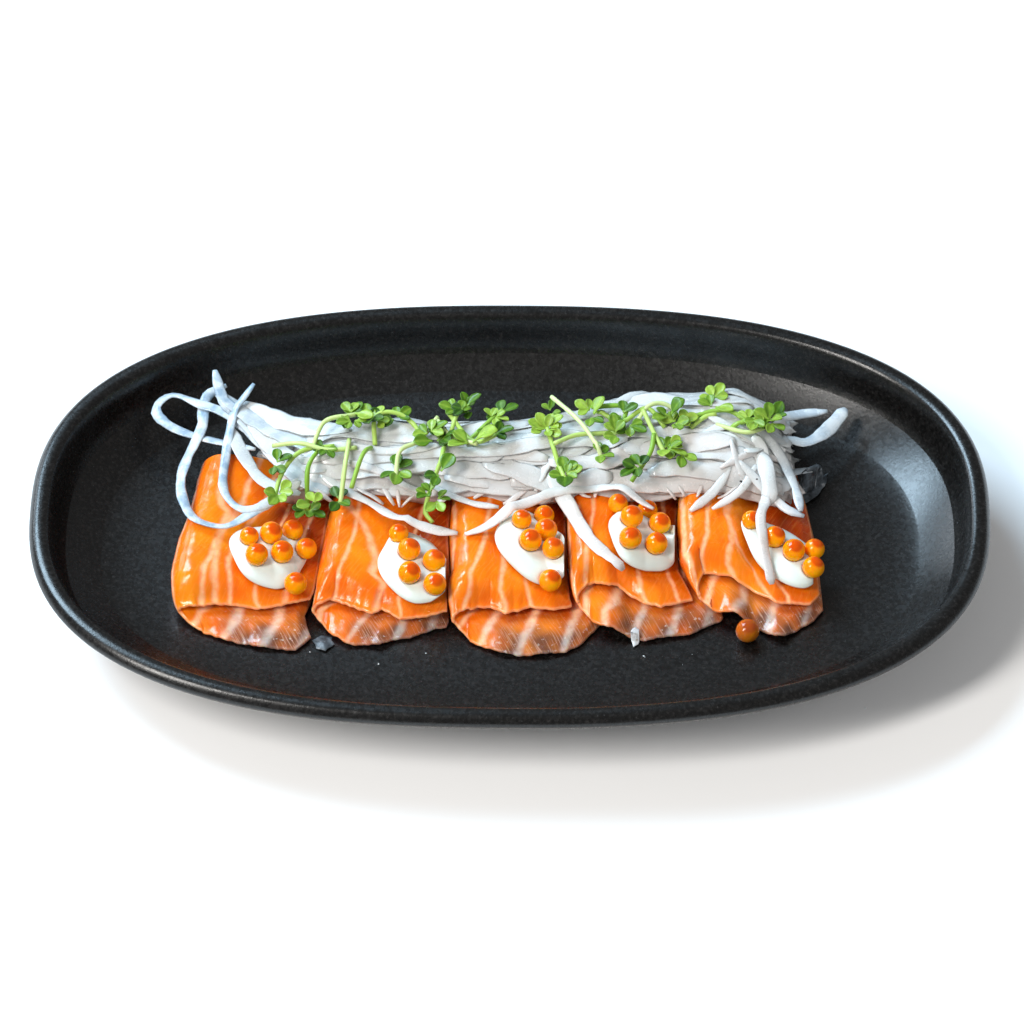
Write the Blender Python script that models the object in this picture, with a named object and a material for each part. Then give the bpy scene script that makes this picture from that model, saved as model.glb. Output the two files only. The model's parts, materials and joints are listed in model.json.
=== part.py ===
"""Salmon ceviche: folded salmon slices with cream, roe, radish shreds and cress on an oval dish."""
import math
import random
import bpy
import bmesh
import numpy as np
from mathutils import Vector
from mathutils.bvhtree import BVHTree

# All measures below are in millimetres and are turned into metres when a mesh is made.
MM = 0.001
GAP = 0.35

# Dish
DISH_LENGTH = 260.0
DISH_WIDTH = 152.8
DISH_POWER = 2.49
DISH_HEIGHT = 26.5
BEAD_RADIUS = 3.0
FLOOR = 8.0
DISH_STEPS = 44

# Salmon
SLICE_THICKNESS = 2.6
BACK_EDGE = 25.0

# Cream and roe
EGG_SINK = 1.7
SOCKET_GAP = 0.3

# Radish and cress. The heap's growth is what its middle, half width and height gain towards the right.
HEAP_MIDDLE = 23.0
HEAP_HALF = 15.5
HEAP_HEIGHT = 18.5
HEAP_GROWTH = (6.0, 5.5, 3.0)
FILL_SHREDS = 20
SHRED_WIDTH = 3.0
SHRED_THICKNESS = 1.1
STEM_RADIUS = 0.65
LEAF_LENGTH = 5.6
LEAF_WIDTH = 3.9
LEAF_THICKNESS = 0.6
SOLVER = "MANIFOLD"

SLICES = [
    {
        "left": [(-30, -88.5), (-24, -90.8), (-15, -91.5), (-4, -90.2), (6, -87.6), (18, -86.1), (25, -84.8)],
        "right": [(-38, -54), (-33, -53), (-29, -54.2), (-25, -55), (-20, -53.4), (-6, -51.4), (9, -49.6), (25, -47.8)],
        "front": [(-90, -26), (-87, -30), (-77.5, -34), (-67.5, -36.5), (-56.5, -37.5), (-53, -33)],
        "top_front": [(-84, -26), (-79.5, -25), (-73.5, -25), (-67.5, -26), (-62, -25), (-54.5, -23)],
        "fold": 6.1, "lift": 0.0, "lift_end": 0.0, "ruffle": 0.7, "phase": 0.4,
    },
    {
        "left": [(-25, -54), (-20, -52.3), (-6, -51), (9, -49.2), (25, -47.4)],
        "right": [(-33, -20), (-30, -17), (-27, -16), (-18.7, -15.9), (-14.7, -15.2), (0, -16), (12.7, -15.5), (25, -15)],
        "front": [(-53, -25.5), (-46, -32.5), (-41.5, -35.5), (-32, -35.5), (-28, -33.5), (-23, -32.5), (-19, -29.5),
                  (-16, -29)],
        "top_front": [(-48, -23), (-44.5, -24), (-36.5, -27.5), (-34, -26), (-29, -29.5), (-23, -29), (-17, -27)],
        "fold": 5.4, "lift": 0.0, "lift_end": 0.0, "ruffle": 0.9, "phase": 1.7,
    },
    {
        "left": [(-26, -16.2), (-18.7, -16.4), (-14.7, -15.7), (0, -16.5), (12.7, -16), (25, -15.5)],
        "right": [(-39, 20.5), (-35.5, 22), (-30, 24), (-27, 25), (-20, 24.5), (25, 23.5)],
        "front": [(-15, -28.5), (-9, -34), (-0.7, -38), (6.3, -39), (12.7, -38.5), (19, -37.5), (22, -35.5), (25, -28)],
        "top_front": [(-12, -27), (-8.3, -25.7), (-4.3, -25.3), (-0.2, -27.4), (4, -26.4), (7, -25.3), (13.7, -26.3),
                      (19, -25)],
        "fold": 5.8, "lift": 0.0, "lift_end": 0.0, "ruffle": 0.6, "phase": 2.6,
    },
    {
        "left": [(-24, 17.4), (-22, 16.9), (-12, 16), (1.7, 15.6), (25, 15)],
        "right": [(-34, 53), (-31, 55), (-27.5, 57), (-25, 58), (-18, 56.5), (25, 55.5)],
        "front": [(22, -24.5), (28, -30), (34.5, -32), (41, -33.5), (47.5, -32), (52.5, -31), (55, -28.5), (58, -26)],
        "top_front": [(19.8, -20.3), (23.3, -18.5), (27.4, -19.2), (30, -18.5), (33, -21), (36.6, -23.7), (41, -25),
                      (45, -24), (50, -22)],
        "fold": 4.9, "lift": 3.05, "lift_end": 26.0, "ruffle": 0.8, "phase": 3.9,
    },
    {
        "left": [(-21.3, 50), (-16.6, 48.4), (-11.2, 46.2), (2.6, 45.5), (14.3, 46), (25, 46.5)],
        "right": [(-33, 83), (-26, 85), (-22, 85), (-10, 84.2), (4.6, 82.8), (15.6, 81), (25, 79)],
        "front": [(54, -22), (60, -25.7), (63.5, -26.7), (68, -27.8), (71, -30), (74.5, -32.5), (77, -32.5), (79, -30),
                  (82.7, -26.3), (85, -22)],
        "top_front": [(54.6, -15), (58.6, -16), (63, -18.5), (68.6, -23), (72.4, -23.7), (77.5, -23.5), (80, -19.5)],
        "fold": 4.9, "lift": 3.05, "lift_end": 59.0, "ruffle": 2.4, "phase": 5.1,
    },
]

# Each cream dollop: centre, half length, half width, turn of its long axis in degrees, height, right limit.
CREAMS = [
    {"at": (-65.0, -10.8), "half": (10.6, 10.3), "turn": 90, "high": 4.6, "limit": -54.4},
    {"at": (-25.4, -14.6), "half": (12.8, 9.2), "turn": -68, "high": 4.6, "limit": -16.9},
    {"at": (6.4, -7.8), "half": (13.6, 9.0), "turn": -63, "high": 4.8, "limit": 15.0},
    {"at": (36.2, -5.6), "half": (10.4, 9.3), "turn": -60, "high": 4.6, "limit": 44.8},
    {"at": (74.0, -8.6), "half": (13.6, 7.8), "turn": -46, "high": 4.2, "limit": 82.2},
]

# Roe eggs of each dollop: place and radius.
EGGS = [
    [(-70.2, -8.6, 2.6), (-67.9, -15.0, 3.1), (-64.4, -6.6, 3.1), (-61.2, -12.6, 3.1), (-58.8, -2.8, 2.9),
     (-54.9, -9.0, 2.9), (-57.3, -21.6, 3.1)],
    [(-26.9, -12.0, 3.1), (-26.6, -19.9, 3.1), (-20.1, -14.9, 3.1), (-19.7, -22.9, 3.1), (-29.9, -5.6, 2.7)],
    [(5.9, -9.6, 3.1), (12.0, -12.0, 3.0), (11.3, -20.3, 3.1), (10.0, -4.6, 3.1), (9.4, 2.3, 2.8), (3.4, -2.4, 2.7)],
    [(32.9, -9.6, 3.1), (39.9, -9.0, 3.1), (33.2, -2.0, 3.1), (40.8, -1.0, 3.0), (29.4, 4.6, 2.7), (37.4, 5.2, 2.8)],
    [(65.6, -0.6, 2.6), (71.8, -6.2, 3.0), (77.0, -10.6, 3.1), (82.6, -8.6, 2.8), (82.2, -15.4, 3.0)],
]
LONE_EGG = (64.4, -31.8, 3.2)

# Long loose shreds that leave the heap: points along each, with height above the floor of the dish, then width.
SHREDS = [
    ([(-62, 18, 15), (-77, 35, 15), (-86, 40, 15), (-93, 44, 14), (-97, 42, 14), (-98, 38, 13.5), (-95, 34, 13.5),
      (-90, 31, 13), (-82, 28, 13), (-70, 24, 14)], 3.0),
    ([(-79, 47, 15), (-84, 44, 14), (-85, 38, 14), (-85, 33, 14), (-87, 26, 13.5), (-89, 20, 13), (-90, 13, 13),
      (-89, 6, 13.5), (-86, -1, 14), (-81, -4, 14.3), (-76, -4, 14), (-70, 1, 13.5), (-57, 12, 14)], 3.2),
    ([(-82, 48, 20), (-80, 41, 18), (-77, 37, 16), (-60, 23, 15)], 3.4),
    ([(-71, 43, 20), (-74, 39, 18), (-76, 36, 17), (-77, 31, 16), (-78, 21, 14), (-78, 9, 14), (-73, 2, 14),
      (-66, 4, 14), (-57, 14, 14)], 2.6),
    ([(-52, 14, 15), (-45, 10, 13), (-38, 6, 12), (-31, 0, 13), (-24, -3, 13), (-14, -5, 11)], 3.2),
    ([(-25, 14, 15), (-20, 10, 14), (-14, 7, 13), (-9, 5, 13), (-3, 4, 13)], 2.4),
    ([(-12, -6, 13), (-7, -4, 13), (-2, -1, 13), (2, 2, 14), (7, 5, 15), (13, 8, 15), (26, 9, 15), (33, 6, 15),
      (39, 1, 15)], 2.8),
    ([(11, 13.2, 16.9), (13, 9, 15), (16, 4, 13), (19, -3, 13), (23, -10, 13), (31, -18, 11)], 3.8),
    ([(14, 19.7, 19.5), (9.1, 13.8, 17.4), (7, 9, 14)], 2.6),
    ([(60, 14.5, 18.7), (56, 9, 15), (49, 2, 13)], 2.8),
    ([(67, 15.5, 17.7), (63, 9, 15), (55, 3, 13)], 2.6),
    ([(64, 12, 16), (62, 15, 19.1), (60, 20, 23)], 2.4),
    ([(66.1, 23.5, 20.8), (69, 20.3, 17.7), (70, 12, 15), (69, 3, 14), (68, -3, 14), (69, -11, 13), (71, -20, 9)], 3.0),
    ([(62.1, 27.2, 22.2), (68, 26.7, 19.5), (73, 22, 16), (76, 16, 14), (78, 10, 13), (79, 3, 13)], 3.0),
    ([(64, 18, 20.5), (75, 29, 13), (81, 30, 11), (87, 35, 11), (92, 42, 12)], 3.8),
    ([(49.1, 21.7, 20.6), (58.1, 26.3, 22.2), (65.2, 29.5, 21.1), (78, 40, 11), (87, 42, 11)], 3.0),
    ([(62.1, 15.8, 19.6), (70, 9, 14), (75, 4, 13), (80, 2, 12)], 2.6),
    ([(62, 13, 17.4), (72, 16, 13.5), (79, 22, 8), (85, 25, 6)], 3.0),
]

# Stems of the cress: points with height above the pile under them.
LEFT_STEMS = [
    [(-65, 22, 2), (-57, 20, 3), (-50, 18, 2), (-42, 20, 1)],
    [(-64, 2, 3), (-62, 11, 4), (-57, 18, 3), (-48, 20, 1)],
    [(-55, 4, 2), (-55, 12, 3), (-52, 19, 1.5)],
    [(-54, 19, 2), (-51, 26, 5), (-45, 28, 6), (-42, 30, 5)],
    [(-44, 22, 2), (-45, 12, 4), (-46, 4, 3)],
    [(-43, 6, 3), (-40, 15, 4), (-38, 20, 1)],
    [(-37, 21, 1), (-37, 29, 5), (-31, 30, 6), (-26, 27, 3), (-24, 21, 1)],
    [(-20, 29, 5), (-25, 21, 2), (-30, 17, 3), (-31, 10, 3)],
    [(-20, 28, 5), (-16, 22, 2), (-9, 18, 4)],
    [(-17, 30, 5), (-10, 21, 2), (-3, 22, 4)],
    [(-18, 20, 1), (-19, 13, 4), (-23, 5, 4), (-21, 1, 3)],
    [(-13, 35, 7), (-15, 29, 5), (-17, 21, 1)],
    [(-2, 33, 5), (-7, 26, 3), (-12, 21, 1)],
]
RIGHT_STEMS = [
    [(10, 24, 2.6), (13, 14, 2.8), (15, 8, 3.3)],
    [(11, 36, 6.4), (18, 27, 2.6), (22, 21, 2.1), (25, 16, 2.2)],
    [(12, 18, 2.7), (18, 22, 2.1), (26, 23.5, 1.5), (33.1, 24, 1.1)],
    [(45.3, 31.1, 2.1), (41.1, 32.5, 2.1), (37.1, 30.7, 2.1), (33.1, 24, 1.1)],
    [(24.3, 30, 2), (30.4, 26.3, 2.1), (37.1, 30.7, 2.1), (42.1, 25.7, 1.1)],
    [(36.1, 29.7, 2.1), (39, 22.7, 2.1), (42, 16.7, 2.1)],
    [(33, 10, 2.8), (38, 16, 2.8), (39.1, 21.8, 2.1)],
    [(44.1, 25.8, 1.1), (52.2, 29.6, 2.1), (59.6, 30.3, 2.8), (65.2, 25.6, 1.4)],
    [(56.2, 29.5, 2.1), (53.2, 28.8, 2), (49.1, 25.3, 1.1)],
    [(60.1, 25.1, 1.1), (67.6, 27.9, 2.5), (72.1, 33.8, 2.1)],
    [(70.1, 25.5, 2.2), (64.2, 22.8, 2.2), (56.1, 26.5, 1)],
    [(30.1, 25.2, 1.1), (31.1, 31.2, 2.1), (22, 31.7, 2)],
]

# Leaves of the cress: place, height above the pile under it, direction in degrees, size factor.
LEFT_LEAVES = [
    (-49, 16, 2, 300, 0.9), (-62, 16, 5, 60, 1.0), (-64, 0, 3, 250, 1.2),
    (-56, 1, 2, 220, 1.0), (-52, 2, 2, 330, 1.1), (-46, 2, 3, 280, 1.1), (-42, 32, 5, 60, 1.1),
    (-40, 28, 5, 330, 1.1), (-46, 25, 5, 200, 0.9), (-37, 25, 4, 300, 1.2),
    (-29, 31, 5, 40, 1.0), (-24, 20, 2, 200, 1.1),
    (-19, 25, 3, 30, 1.1), (-16, 20, 2, 330, 1.1), (-13, 37, 7, 110, 1.0), (-10, 34, 6, 40, 1.0),
    (-18, 32, 5, 170, 1.0), (-1, 34, 5, 60, 1.1), (-2, 27, 3, 330, 0.9),
    (-6, 19, 4, 10, 1.6), (-1, 22, 4, 10, 1.1), (-20, -1, 3, 260, 1.0), (-31, 8, 3, 265, 1.4),
    (-17, 12, 4, 60, 1.2), (-24, 2, 4, 230, 0.9), (-37, 31, 5, 100, 0.9),
]
RIGHT_LEAVES = [
    (8, 26, 2.7, 130, 1.1), (6, 23, 2.9, 190, 1.0), (13, 26, 2.3, 20, 1.0), (15, 6, 3, 270, 1.3),
    (18, 11, 2.9, 20, 1.0), (26, 14, 2.4, 300, 1.0), (19.1, 32.2, 2.1, 150, 1.0), (24.1, 31, 2.1, 60, 1.1),
    (28.1, 24.8, 2, 100, 1.1), (32.1, 31.2, 2.1, 60, 1.0), (35.1, 23.2, 2.1, 330, 1.1),
    (42, 14.8, 2.2, 250, 1.1), (46, 16, 2.7, 330, 1.2), (48, 13, 2.3, 300, 1.1), (32, 8, 4.2, 220, 1.2),
    (46.1, 30.3, 2.2, 40, 1.2), (49.1, 27.5, 2.2, 10, 1.1), (47.1, 23.8, 2.1, 320, 1.1),
    (57, 39, 2, 60, 1.1), (58.5, 30.4, 2.4, 330, 1.1), (67.8, 24.4, 2.6, 316, 1.0),
    (68.8, 29.4, 2.7, 124, 1.2), (73.2, 33.5, 2.1, 60, 1.3), (72, 26.7, 2.1, 340, 1.1),
    (66.2, 23.6, 2, 250, 1.0), (10, 38, 4.8, 110, 0.7),
]


def shortage(points, faces, pile, clear):
    """How far a piece must rise so that no face of it dips into the pile."""
    most = 0.0
    for face in faces:
        a, b, c = (Vector(points[k]) for k in face[:3])
        for u, v in ((0.33, 0.33), (0.5, 0.5), (0.5, 0.0), (0.0, 0.5), (0.1, 0.1), (0.8, 0.1), (0.1, 0.8)):
            here = a + (b - a) * u + (c - a) * v
            most = max(most, pile.over(here.x, here.y, 0.4) + clear - here.z)
    return most


def smooth(value):
    """Ease from 0 to 1 with level ends."""
    value = min(1.0, max(0.0, value))
    return value * value * (3.0 - 2.0 * value)


def along(points, value):
    """Read the second number of a list of points at a given first number."""
    return float(np.interp(value, [p[0] for p in points], [p[1] for p in points]))


def material(name, colour, rough):
    made = bpy.data.materials.new(name)
    made.use_nodes = True
    shader = made.node_tree.nodes["Principled BSDF"]
    shader.inputs["Base Color"].default_value = (colour[0], colour[1], colour[2], 1.0)
    shader.inputs["Roughness"].default_value = rough
    made.diffuse_color = (colour[0], colour[1], colour[2], 1.0)
    return made


def solid(name, points, faces, slot):
    """Make one closed body from points in millimetres."""
    mesh = bpy.data.meshes.new(name)
    mesh.from_pydata([(p[0] * MM, p[1] * MM, p[2] * MM) for p in points], [], faces)
    mesh.update()
    shape = bmesh.new()
    shape.from_mesh(mesh)
    bmesh.ops.recalc_face_normals(shape, faces=shape.faces)
    shape.to_mesh(mesh)
    shape.free()
    mesh.materials.append(slot)
    body = bpy.data.objects.new(name, mesh)
    bpy.context.scene.collection.objects.link(body)
    mesh.shade_smooth()
    return body


def sheet(top, under):
    """Close two matching grids of points into one thick sheet."""
    rows = len(top)
    columns = len(top[0])
    points = [p for row in top for p in row] + [p for row in under for p in row]
    half = rows * columns
    faces = []
    for i in range(rows - 1):
        for j in range(columns - 1):
            a = i * columns + j
            b = a + 1
            c = a + columns + 1
            d = a + columns
            faces.append((a, b, c))
            faces.append((a, c, d))
            faces.append((half + a, half + c, half + b))
            faces.append((half + a, half + d, half + c))
    for j in range(columns - 1):
        a = j
        faces.append((a, half + a, half + a + 1))
        faces.append((a, half + a + 1, a + 1))
        a = (rows - 1) * columns + j
        faces.append((a, a + 1, half + a + 1))
        faces.append((a, half + a + 1, half + a))
    for i in range(rows - 1):
        a = i * columns
        faces.append((a, a + columns, half + a + columns))
        faces.append((a, half + a + columns, half + a))
        a = i * columns + columns - 1
        faces.append((a, half + a, half + a + columns))
        faces.append((a, half + a + columns, a + columns))
    return points, faces


class Pile:
    """Everything laid so far, with the height of its top at any place."""

    def __init__(self):
        self.points = []
        self.faces = []
        self.tree = None

    def add(self, body):
        start = len(self.points)
        mesh = body.data
        self.points += [tuple(v.co / MM) for v in mesh.vertices]
        self.faces += [tuple(start + k for k in p.vertices) for p in mesh.polygons]
        self.tree = BVHTree.FromPolygons(self.points, self.faces)

    def top(self, x, y):
        hit = self.tree.ray_cast(Vector((x, y, 200.0)), Vector((0.0, 0.0, -1.0)))
        return hit[0].z if hit[0] is not None else 0.0

    def over(self, x, y, reach):
        """Highest top within a reach round a place."""
        high = self.top(x, y)
        for ring in (0.5, 1.0):
            for k in range(8):
                turn = k * math.pi / 4
                high = max(high, self.top(x + reach * ring * math.cos(turn), y + reach * ring * math.sin(turn)))
        return high

    def ball(self, x, y, radius):
        """Lowest centre height of a ball that rests here."""
        high = self.top(x, y) + radius
        for ring in (0.3, 0.6, 0.9):
            drop = radius * math.sqrt(1.0 - ring * ring)
            for k in range(12):
                turn = k * math.pi / 6
                place = self.top(x + radius * ring * math.cos(turn), y + radius * ring * math.sin(turn))
                high = max(high, place + drop)
        return high


def join(body, pieces):
    """Fuse pieces onto a body, then drop the loose pieces."""
    group = bpy.data.collections.new("fused")
    bpy.context.scene.collection.children.link(group)
    for piece in pieces:
        bpy.context.scene.collection.objects.unlink(piece)
        group.objects.link(piece)
    cut = body.modifiers.new("fuse", "BOOLEAN")
    cut.operation = "UNION"
    cut.operand_type = "COLLECTION"
    cut.collection = group
    cut.solver = SOLVER
    bake(body)
    for piece in list(group.objects):
        bpy.data.objects.remove(piece, do_unlink=True)
    bpy.data.collections.remove(group)
    keep_outer(body)


def carve(body, cutters):
    """Cut sockets out of a body."""
    group = bpy.data.collections.new("cutters")
    bpy.context.scene.collection.children.link(group)
    for piece in cutters:
        bpy.context.scene.collection.objects.unlink(piece)
        group.objects.link(piece)
    cut = body.modifiers.new("sockets", "BOOLEAN")
    cut.operation = "DIFFERENCE"
    cut.operand_type = "COLLECTION"
    cut.collection = group
    cut.solver = SOLVER
    bake(body)
    for piece in list(group.objects):
        bpy.data.objects.remove(piece, do_unlink=True)
    bpy.data.collections.remove(group)
    keep_outer(body)


def bake(body):
    """Apply the modifiers of a body."""
    bpy.context.view_layer.update()
    graph = bpy.context.evaluated_depsgraph_get()
    mesh = bpy.data.meshes.new_from_object(body.evaluated_get(graph))
    body.modifiers.clear()
    body.data = mesh


def keep_outer(body):
    """Split the faces of a body into triangles and keep only its largest closed shell."""
    shape = bmesh.new()
    shape.from_mesh(body.data)
    bmesh.ops.triangulate(shape, faces=shape.faces)
    left = set(shape.faces)
    shells = []
    while left:
        seed = left.pop()
        shell = {seed}
        front = [seed]
        while front:
            face = front.pop()
            for edge in face.edges:
                for other in edge.link_faces:
                    if other in left:
                        left.discard(other)
                        shell.add(other)
                        front.append(other)
        shells.append(shell)
    shells.sort(key=len, reverse=True)
    loose = [face for shell in shells[1:] for face in shell]
    bmesh.ops.delete(shape, geom=loose, context="FACES")
    bmesh.ops.recalc_face_normals(shape, faces=shape.faces)
    shape.to_mesh(body.data)
    shape.free()
    body.data.shade_smooth()


def oval_ring(inset, height):
    ring = []
    for k in range(DISH_STEPS):
        turn = 2.0 * math.pi * k / DISH_STEPS
        c = math.cos(turn)
        s = math.sin(turn)
        x = (DISH_LENGTH / 2 - inset) * math.copysign(abs(c) ** (2 / DISH_POWER), c)
        y = (DISH_WIDTH / 2 - inset) * math.copysign(abs(s) ** (2 / DISH_POWER), s)
        ring.append((x, y, height))
    return ring


def make_dish(slot):
    rim = DISH_HEIGHT - BEAD_RADIUS
    profile = [(47.0, 2.5), (45.0, 0.0), (41.0, 0.0), (39.0, 1.6), (28.0, 5.2), (17.0, 10.4), (8.5, 15.6)]
    profile += [(2.2, 20.6), (0.0, rim + 0.2), (1.1, rim + 2.4), (3.0, DISH_HEIGHT), (4.9, rim + 2.4), (6.1, rim)]
    profile += [(8.0, 16.8), (10.8, 11.9), (15.0, 9.0), (21.0, FLOOR)]
    points = [(0.0, 0.0, 2.5)]
    for inset, height in profile:
        points += oval_ring(inset, height)
    points.append((0.0, 0.0, FLOOR))
    faces = []
    last = len(points) - 1
    rows = len(profile)
    for k in range(DISH_STEPS):
        n = (k + 1) % DISH_STEPS
        faces.append((0, 1 + n, 1 + k))
        for i in range(rows - 1):
            a = 1 + i * DISH_STEPS
            b = a + DISH_STEPS
            faces.append((a + k, a + n, b + n))
            faces.append((a + k, b + n, b + k))
        a = 1 + (rows - 1) * DISH_STEPS
        faces.append((a + k, a + n, last))
    return solid("dish", points, faces, slot)


def slice_middle(data, s, v):
    """Middle surface of a folded slice: s runs from the lower right end round the fold, v from front to back."""
    thick = SLICE_THICKNESS
    turn = data["fold"] - thick / 2
    right_front = data["front"][-1][0]
    left_front = data["front"][0][0] + data["fold"]
    top_end = data["top_front"][-1][0]
    top_start = along(data["left"], data["top_front"][0][1]) + data["fold"]
    back = BACK_EDGE + 1.2 * math.sin(data["phase"] * 3 + s * 7)
    low = 0.36
    high = 0.60
    if s <= low:
        t = s / low
        front = along(data["front"], right_front + (left_front - right_front) * t)
    elif s < high:
        t = (s - low) / (high - low)
        corner = data["front"][0]
        if t < 0.5:
            front = along(data["front"], corner[0] + data["fold"] * (1 - math.sin(math.pi * t)))
        else:
            second = along(data["top_front"], top_start)
            front = corner[1] + (second - corner[1]) * (2 * t - 1)
    else:
        t = (s - high) / (1 - high)
        front = along(data["top_front"], top_start + (top_end - top_start) * t)
    y = front + (back - front) * v
    left = along(data["left"], y)
    centre = left + data["fold"]
    right = along(data["right"], y)
    top_right = data["top_right"](y)
    ramp = 1.0 - smooth((centre_x(s, low, high, right, centre, top_right) - data["lift_end"]) / 8.0)
    base = FLOOR + 0.3 + thick / 2 + data["lift"] * ramp
    if s <= low:
        t = s / low
        x = right + (centre - right) * t
        ahead = max(0.0, along(data["top_front"], x) - 2.5 - y) / 7.0
        side = smooth((right - x) / 12.0)
        wave = 0.5 + 0.5 * math.sin(x * 0.55 + data["phase"])
        z = base + data["ruffle"] * min(1.0, ahead) ** 1.5 * wave * side
        return (x, y, z)
    if s < high:
        t = (s - low) / (high - low)
        angle = -math.pi / 2 - math.pi * t
        x = centre + turn * math.cos(angle)
        z = base + turn + turn * math.sin(angle)
        return (x, y, z)
    t = (s - high) / (1 - high)
    x = centre + (top_right - centre) * t
    drop = smooth((x - centre) / 22.0)
    wave = 0.5 + 0.5 * math.sin(y * 0.21 + x * 0.13 + data["phase"] * 2)
    z = base + 2 * turn * (1 - drop) + (thick + 0.45) * drop + 1.0 * wave * drop
    return (x, y, z)


def centre_x(s, low, high, right, centre, top_right):
    """Sideways place used for the rise over the slice before."""
    if s <= low:
        return right + (centre - right) * s / low
    if s < high:
        return centre
    return centre + (top_right - centre) * (s - high) / (1 - high)


def make_slice(name, data, slot, slots_s, slots_v):
    top = []
    under = []
    step = 0.004
    for v in slots_v:
        top_row = []
        under_row = []
        for s in slots_s:
            here = Vector(slice_middle(data, s, v))
            s0 = max(0.0, s - step)
            s1 = min(1.0, s + step)
            v0 = max(0.0, v - step)
            v1 = min(1.0, v + step)
            across = Vector(slice_middle(data, s1, v)) - Vector(slice_middle(data, s0, v))
            deep = Vector(slice_middle(data, s, v1)) - Vector(slice_middle(data, s, v0))
            normal = across.cross(deep).normalized()
            edge = min(s, 1 - s) < 0.001 or min(v, 1 - v) < 0.001
            half = SLICE_THICKNESS / 2 * (0.5 if edge else 1.0)
            top_row.append(tuple(here + normal * half))
            under_row.append(tuple(here - normal * half))
        top.append(top_row)
        under.append(under_row)
    points, faces = sheet(top, under)
    return solid(name, points, faces, slot)


def make_cream(name, data, pile, slot):
    steps = 13
    turn = math.radians(data["turn"])
    rings = [(0.45, 0.94), (0.83, 0.62), (1.0, 0.2)]
    lows = [0.9]
    top = []
    low = []

    def place(k, part):
        angle = 2 * math.pi * k / steps
        wobble = 1.0 + 0.05 * math.sin(3 * angle + data["at"][0]) + 0.03 * math.sin(5 * angle + data["at"][1])
        u = data["half"][0] * part * wobble * math.cos(angle)
        w = data["half"][1] * part * wobble * math.sin(angle)
        x = data["at"][0] + u * math.cos(turn) - w * math.sin(turn)
        y = data["at"][1] + u * math.sin(turn) + w * math.cos(turn)
        return min(x, data["limit"] - 0.6 * (1 - part)), y

    def floor_at(x, y):
        return pile.over(x, y, 2.2) + GAP

    centre = data["at"]
    base = floor_at(*centre)
    points = [(centre[0], centre[1], base + data["high"])]
    for part, rise in rings:
        for k in range(steps):
            x, y = place(k, part)
            points.append((x, y, floor_at(x, y) + data["high"] * rise + 0.2))
    for part in lows:
        for k in range(steps):
            x, y = place(k, part)
            points.append((x, y, floor_at(x, y)))
    points.append((centre[0], centre[1], base))
    faces = []
    total = len(rings) + len(lows)
    last = len(points) - 1
    for k in range(steps):
        n = (k + 1) % steps
        faces.append((0, 1 + k, 1 + n))
        for i in range(total - 1):
            a = 1 + i * steps
            b = a + steps
            faces.append((a + k, b + k, b + n))
            faces.append((a + k, b + n, a + n))
        a = 1 + (total - 1) * steps
        faces.append((a + k, last, a + n))
    return solid(name, points, faces, slot)


def make_ball(name, centre, radius, slot):
    shape = bmesh.new()
    bmesh.ops.create_icosphere(shape, subdivisions=2, radius=radius)
    points = [(v.co.x + centre[0], v.co.y + centre[1], v.co.z + centre[2]) for v in shape.verts]
    faces = [tuple(v.index for v in f.verts) for f in shape.faces]
    shape.free()
    return solid(name, points, faces, slot)


def even_path(points, spacing):
    """Points at an even spacing along a smooth curve through the given points."""
    pts = [Vector(p) for p in points]
    pts = [pts[0] * 2 - pts[1]] + pts + [pts[-1] * 2 - pts[-2]]
    fine = []
    for i in range(1, len(pts) - 2):
        p0, p1, p2, p3 = pts[i - 1:i + 3]
        for k in range(12):
            t = k / 12
            fine.append(0.5 * ((2 * p1) + (p2 - p0) * t + (2 * p0 - 5 * p1 + 4 * p2 - p3) * t * t
                               + (3 * p1 - p0 - 3 * p2 + p3) * t ** 3))
    fine.append(pts[-2])
    length = [0.0]
    for a, b in zip(fine, fine[1:]):
        length.append(length[-1] + (b - a).length)
    count = max(2, int(round(length[-1] / spacing)))
    result = []
    for k in range(count + 1):
        want = length[-1] * k / count
        i = min(len(fine) - 2, max(0, int(np.searchsorted(length, want)) - 1))
        span = length[i + 1] - length[i]
        t = (want - length[i]) / span if span > 0 else 0.0
        result.append(fine[i].lerp(fine[i + 1], t))
    return result


def make_strip(name, path, width, thick, twist, slot):
    """A ribbon of four sides with tapered ends."""
    points = []
    count = len(path)
    for i, here in enumerate(path):
        ahead = path[min(count - 1, i + 1)] - path[max(0, i - 1)]
        ahead.normalize()
        side = ahead.cross(Vector((0, 0, 1)))
        if side.length < 0.2:
            side = ahead.cross(Vector((0, 1, 0)))
        side.normalize()
        up = side.cross(ahead).normalized()
        roll = twist * math.sin(i * 0.9)
        flat = side * math.cos(roll) + up * math.sin(roll)
        rise = up * math.cos(roll) - side * math.sin(roll)
        part = 0.55 if i in (0, count - 1) else 1.0
        w = flat * width / 2 * part
        h = rise * thick / 2 * part
        for corner in (w + h, h - w, -w - h, w - h):
            points.append(tuple(here + corner))
    faces = [(0, 1, 2, 3), tuple(4 * (count - 1) + k for k in (3, 2, 1, 0))]
    for i in range(count - 1):
        a = 4 * i
        for k in range(4):
            n = (k + 1) % 4
            faces.append((a + k, a + 4 + k, a + 4 + n))
            faces.append((a + k, a + 4 + n, a + n))
    return solid(name, points, faces, slot)


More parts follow.
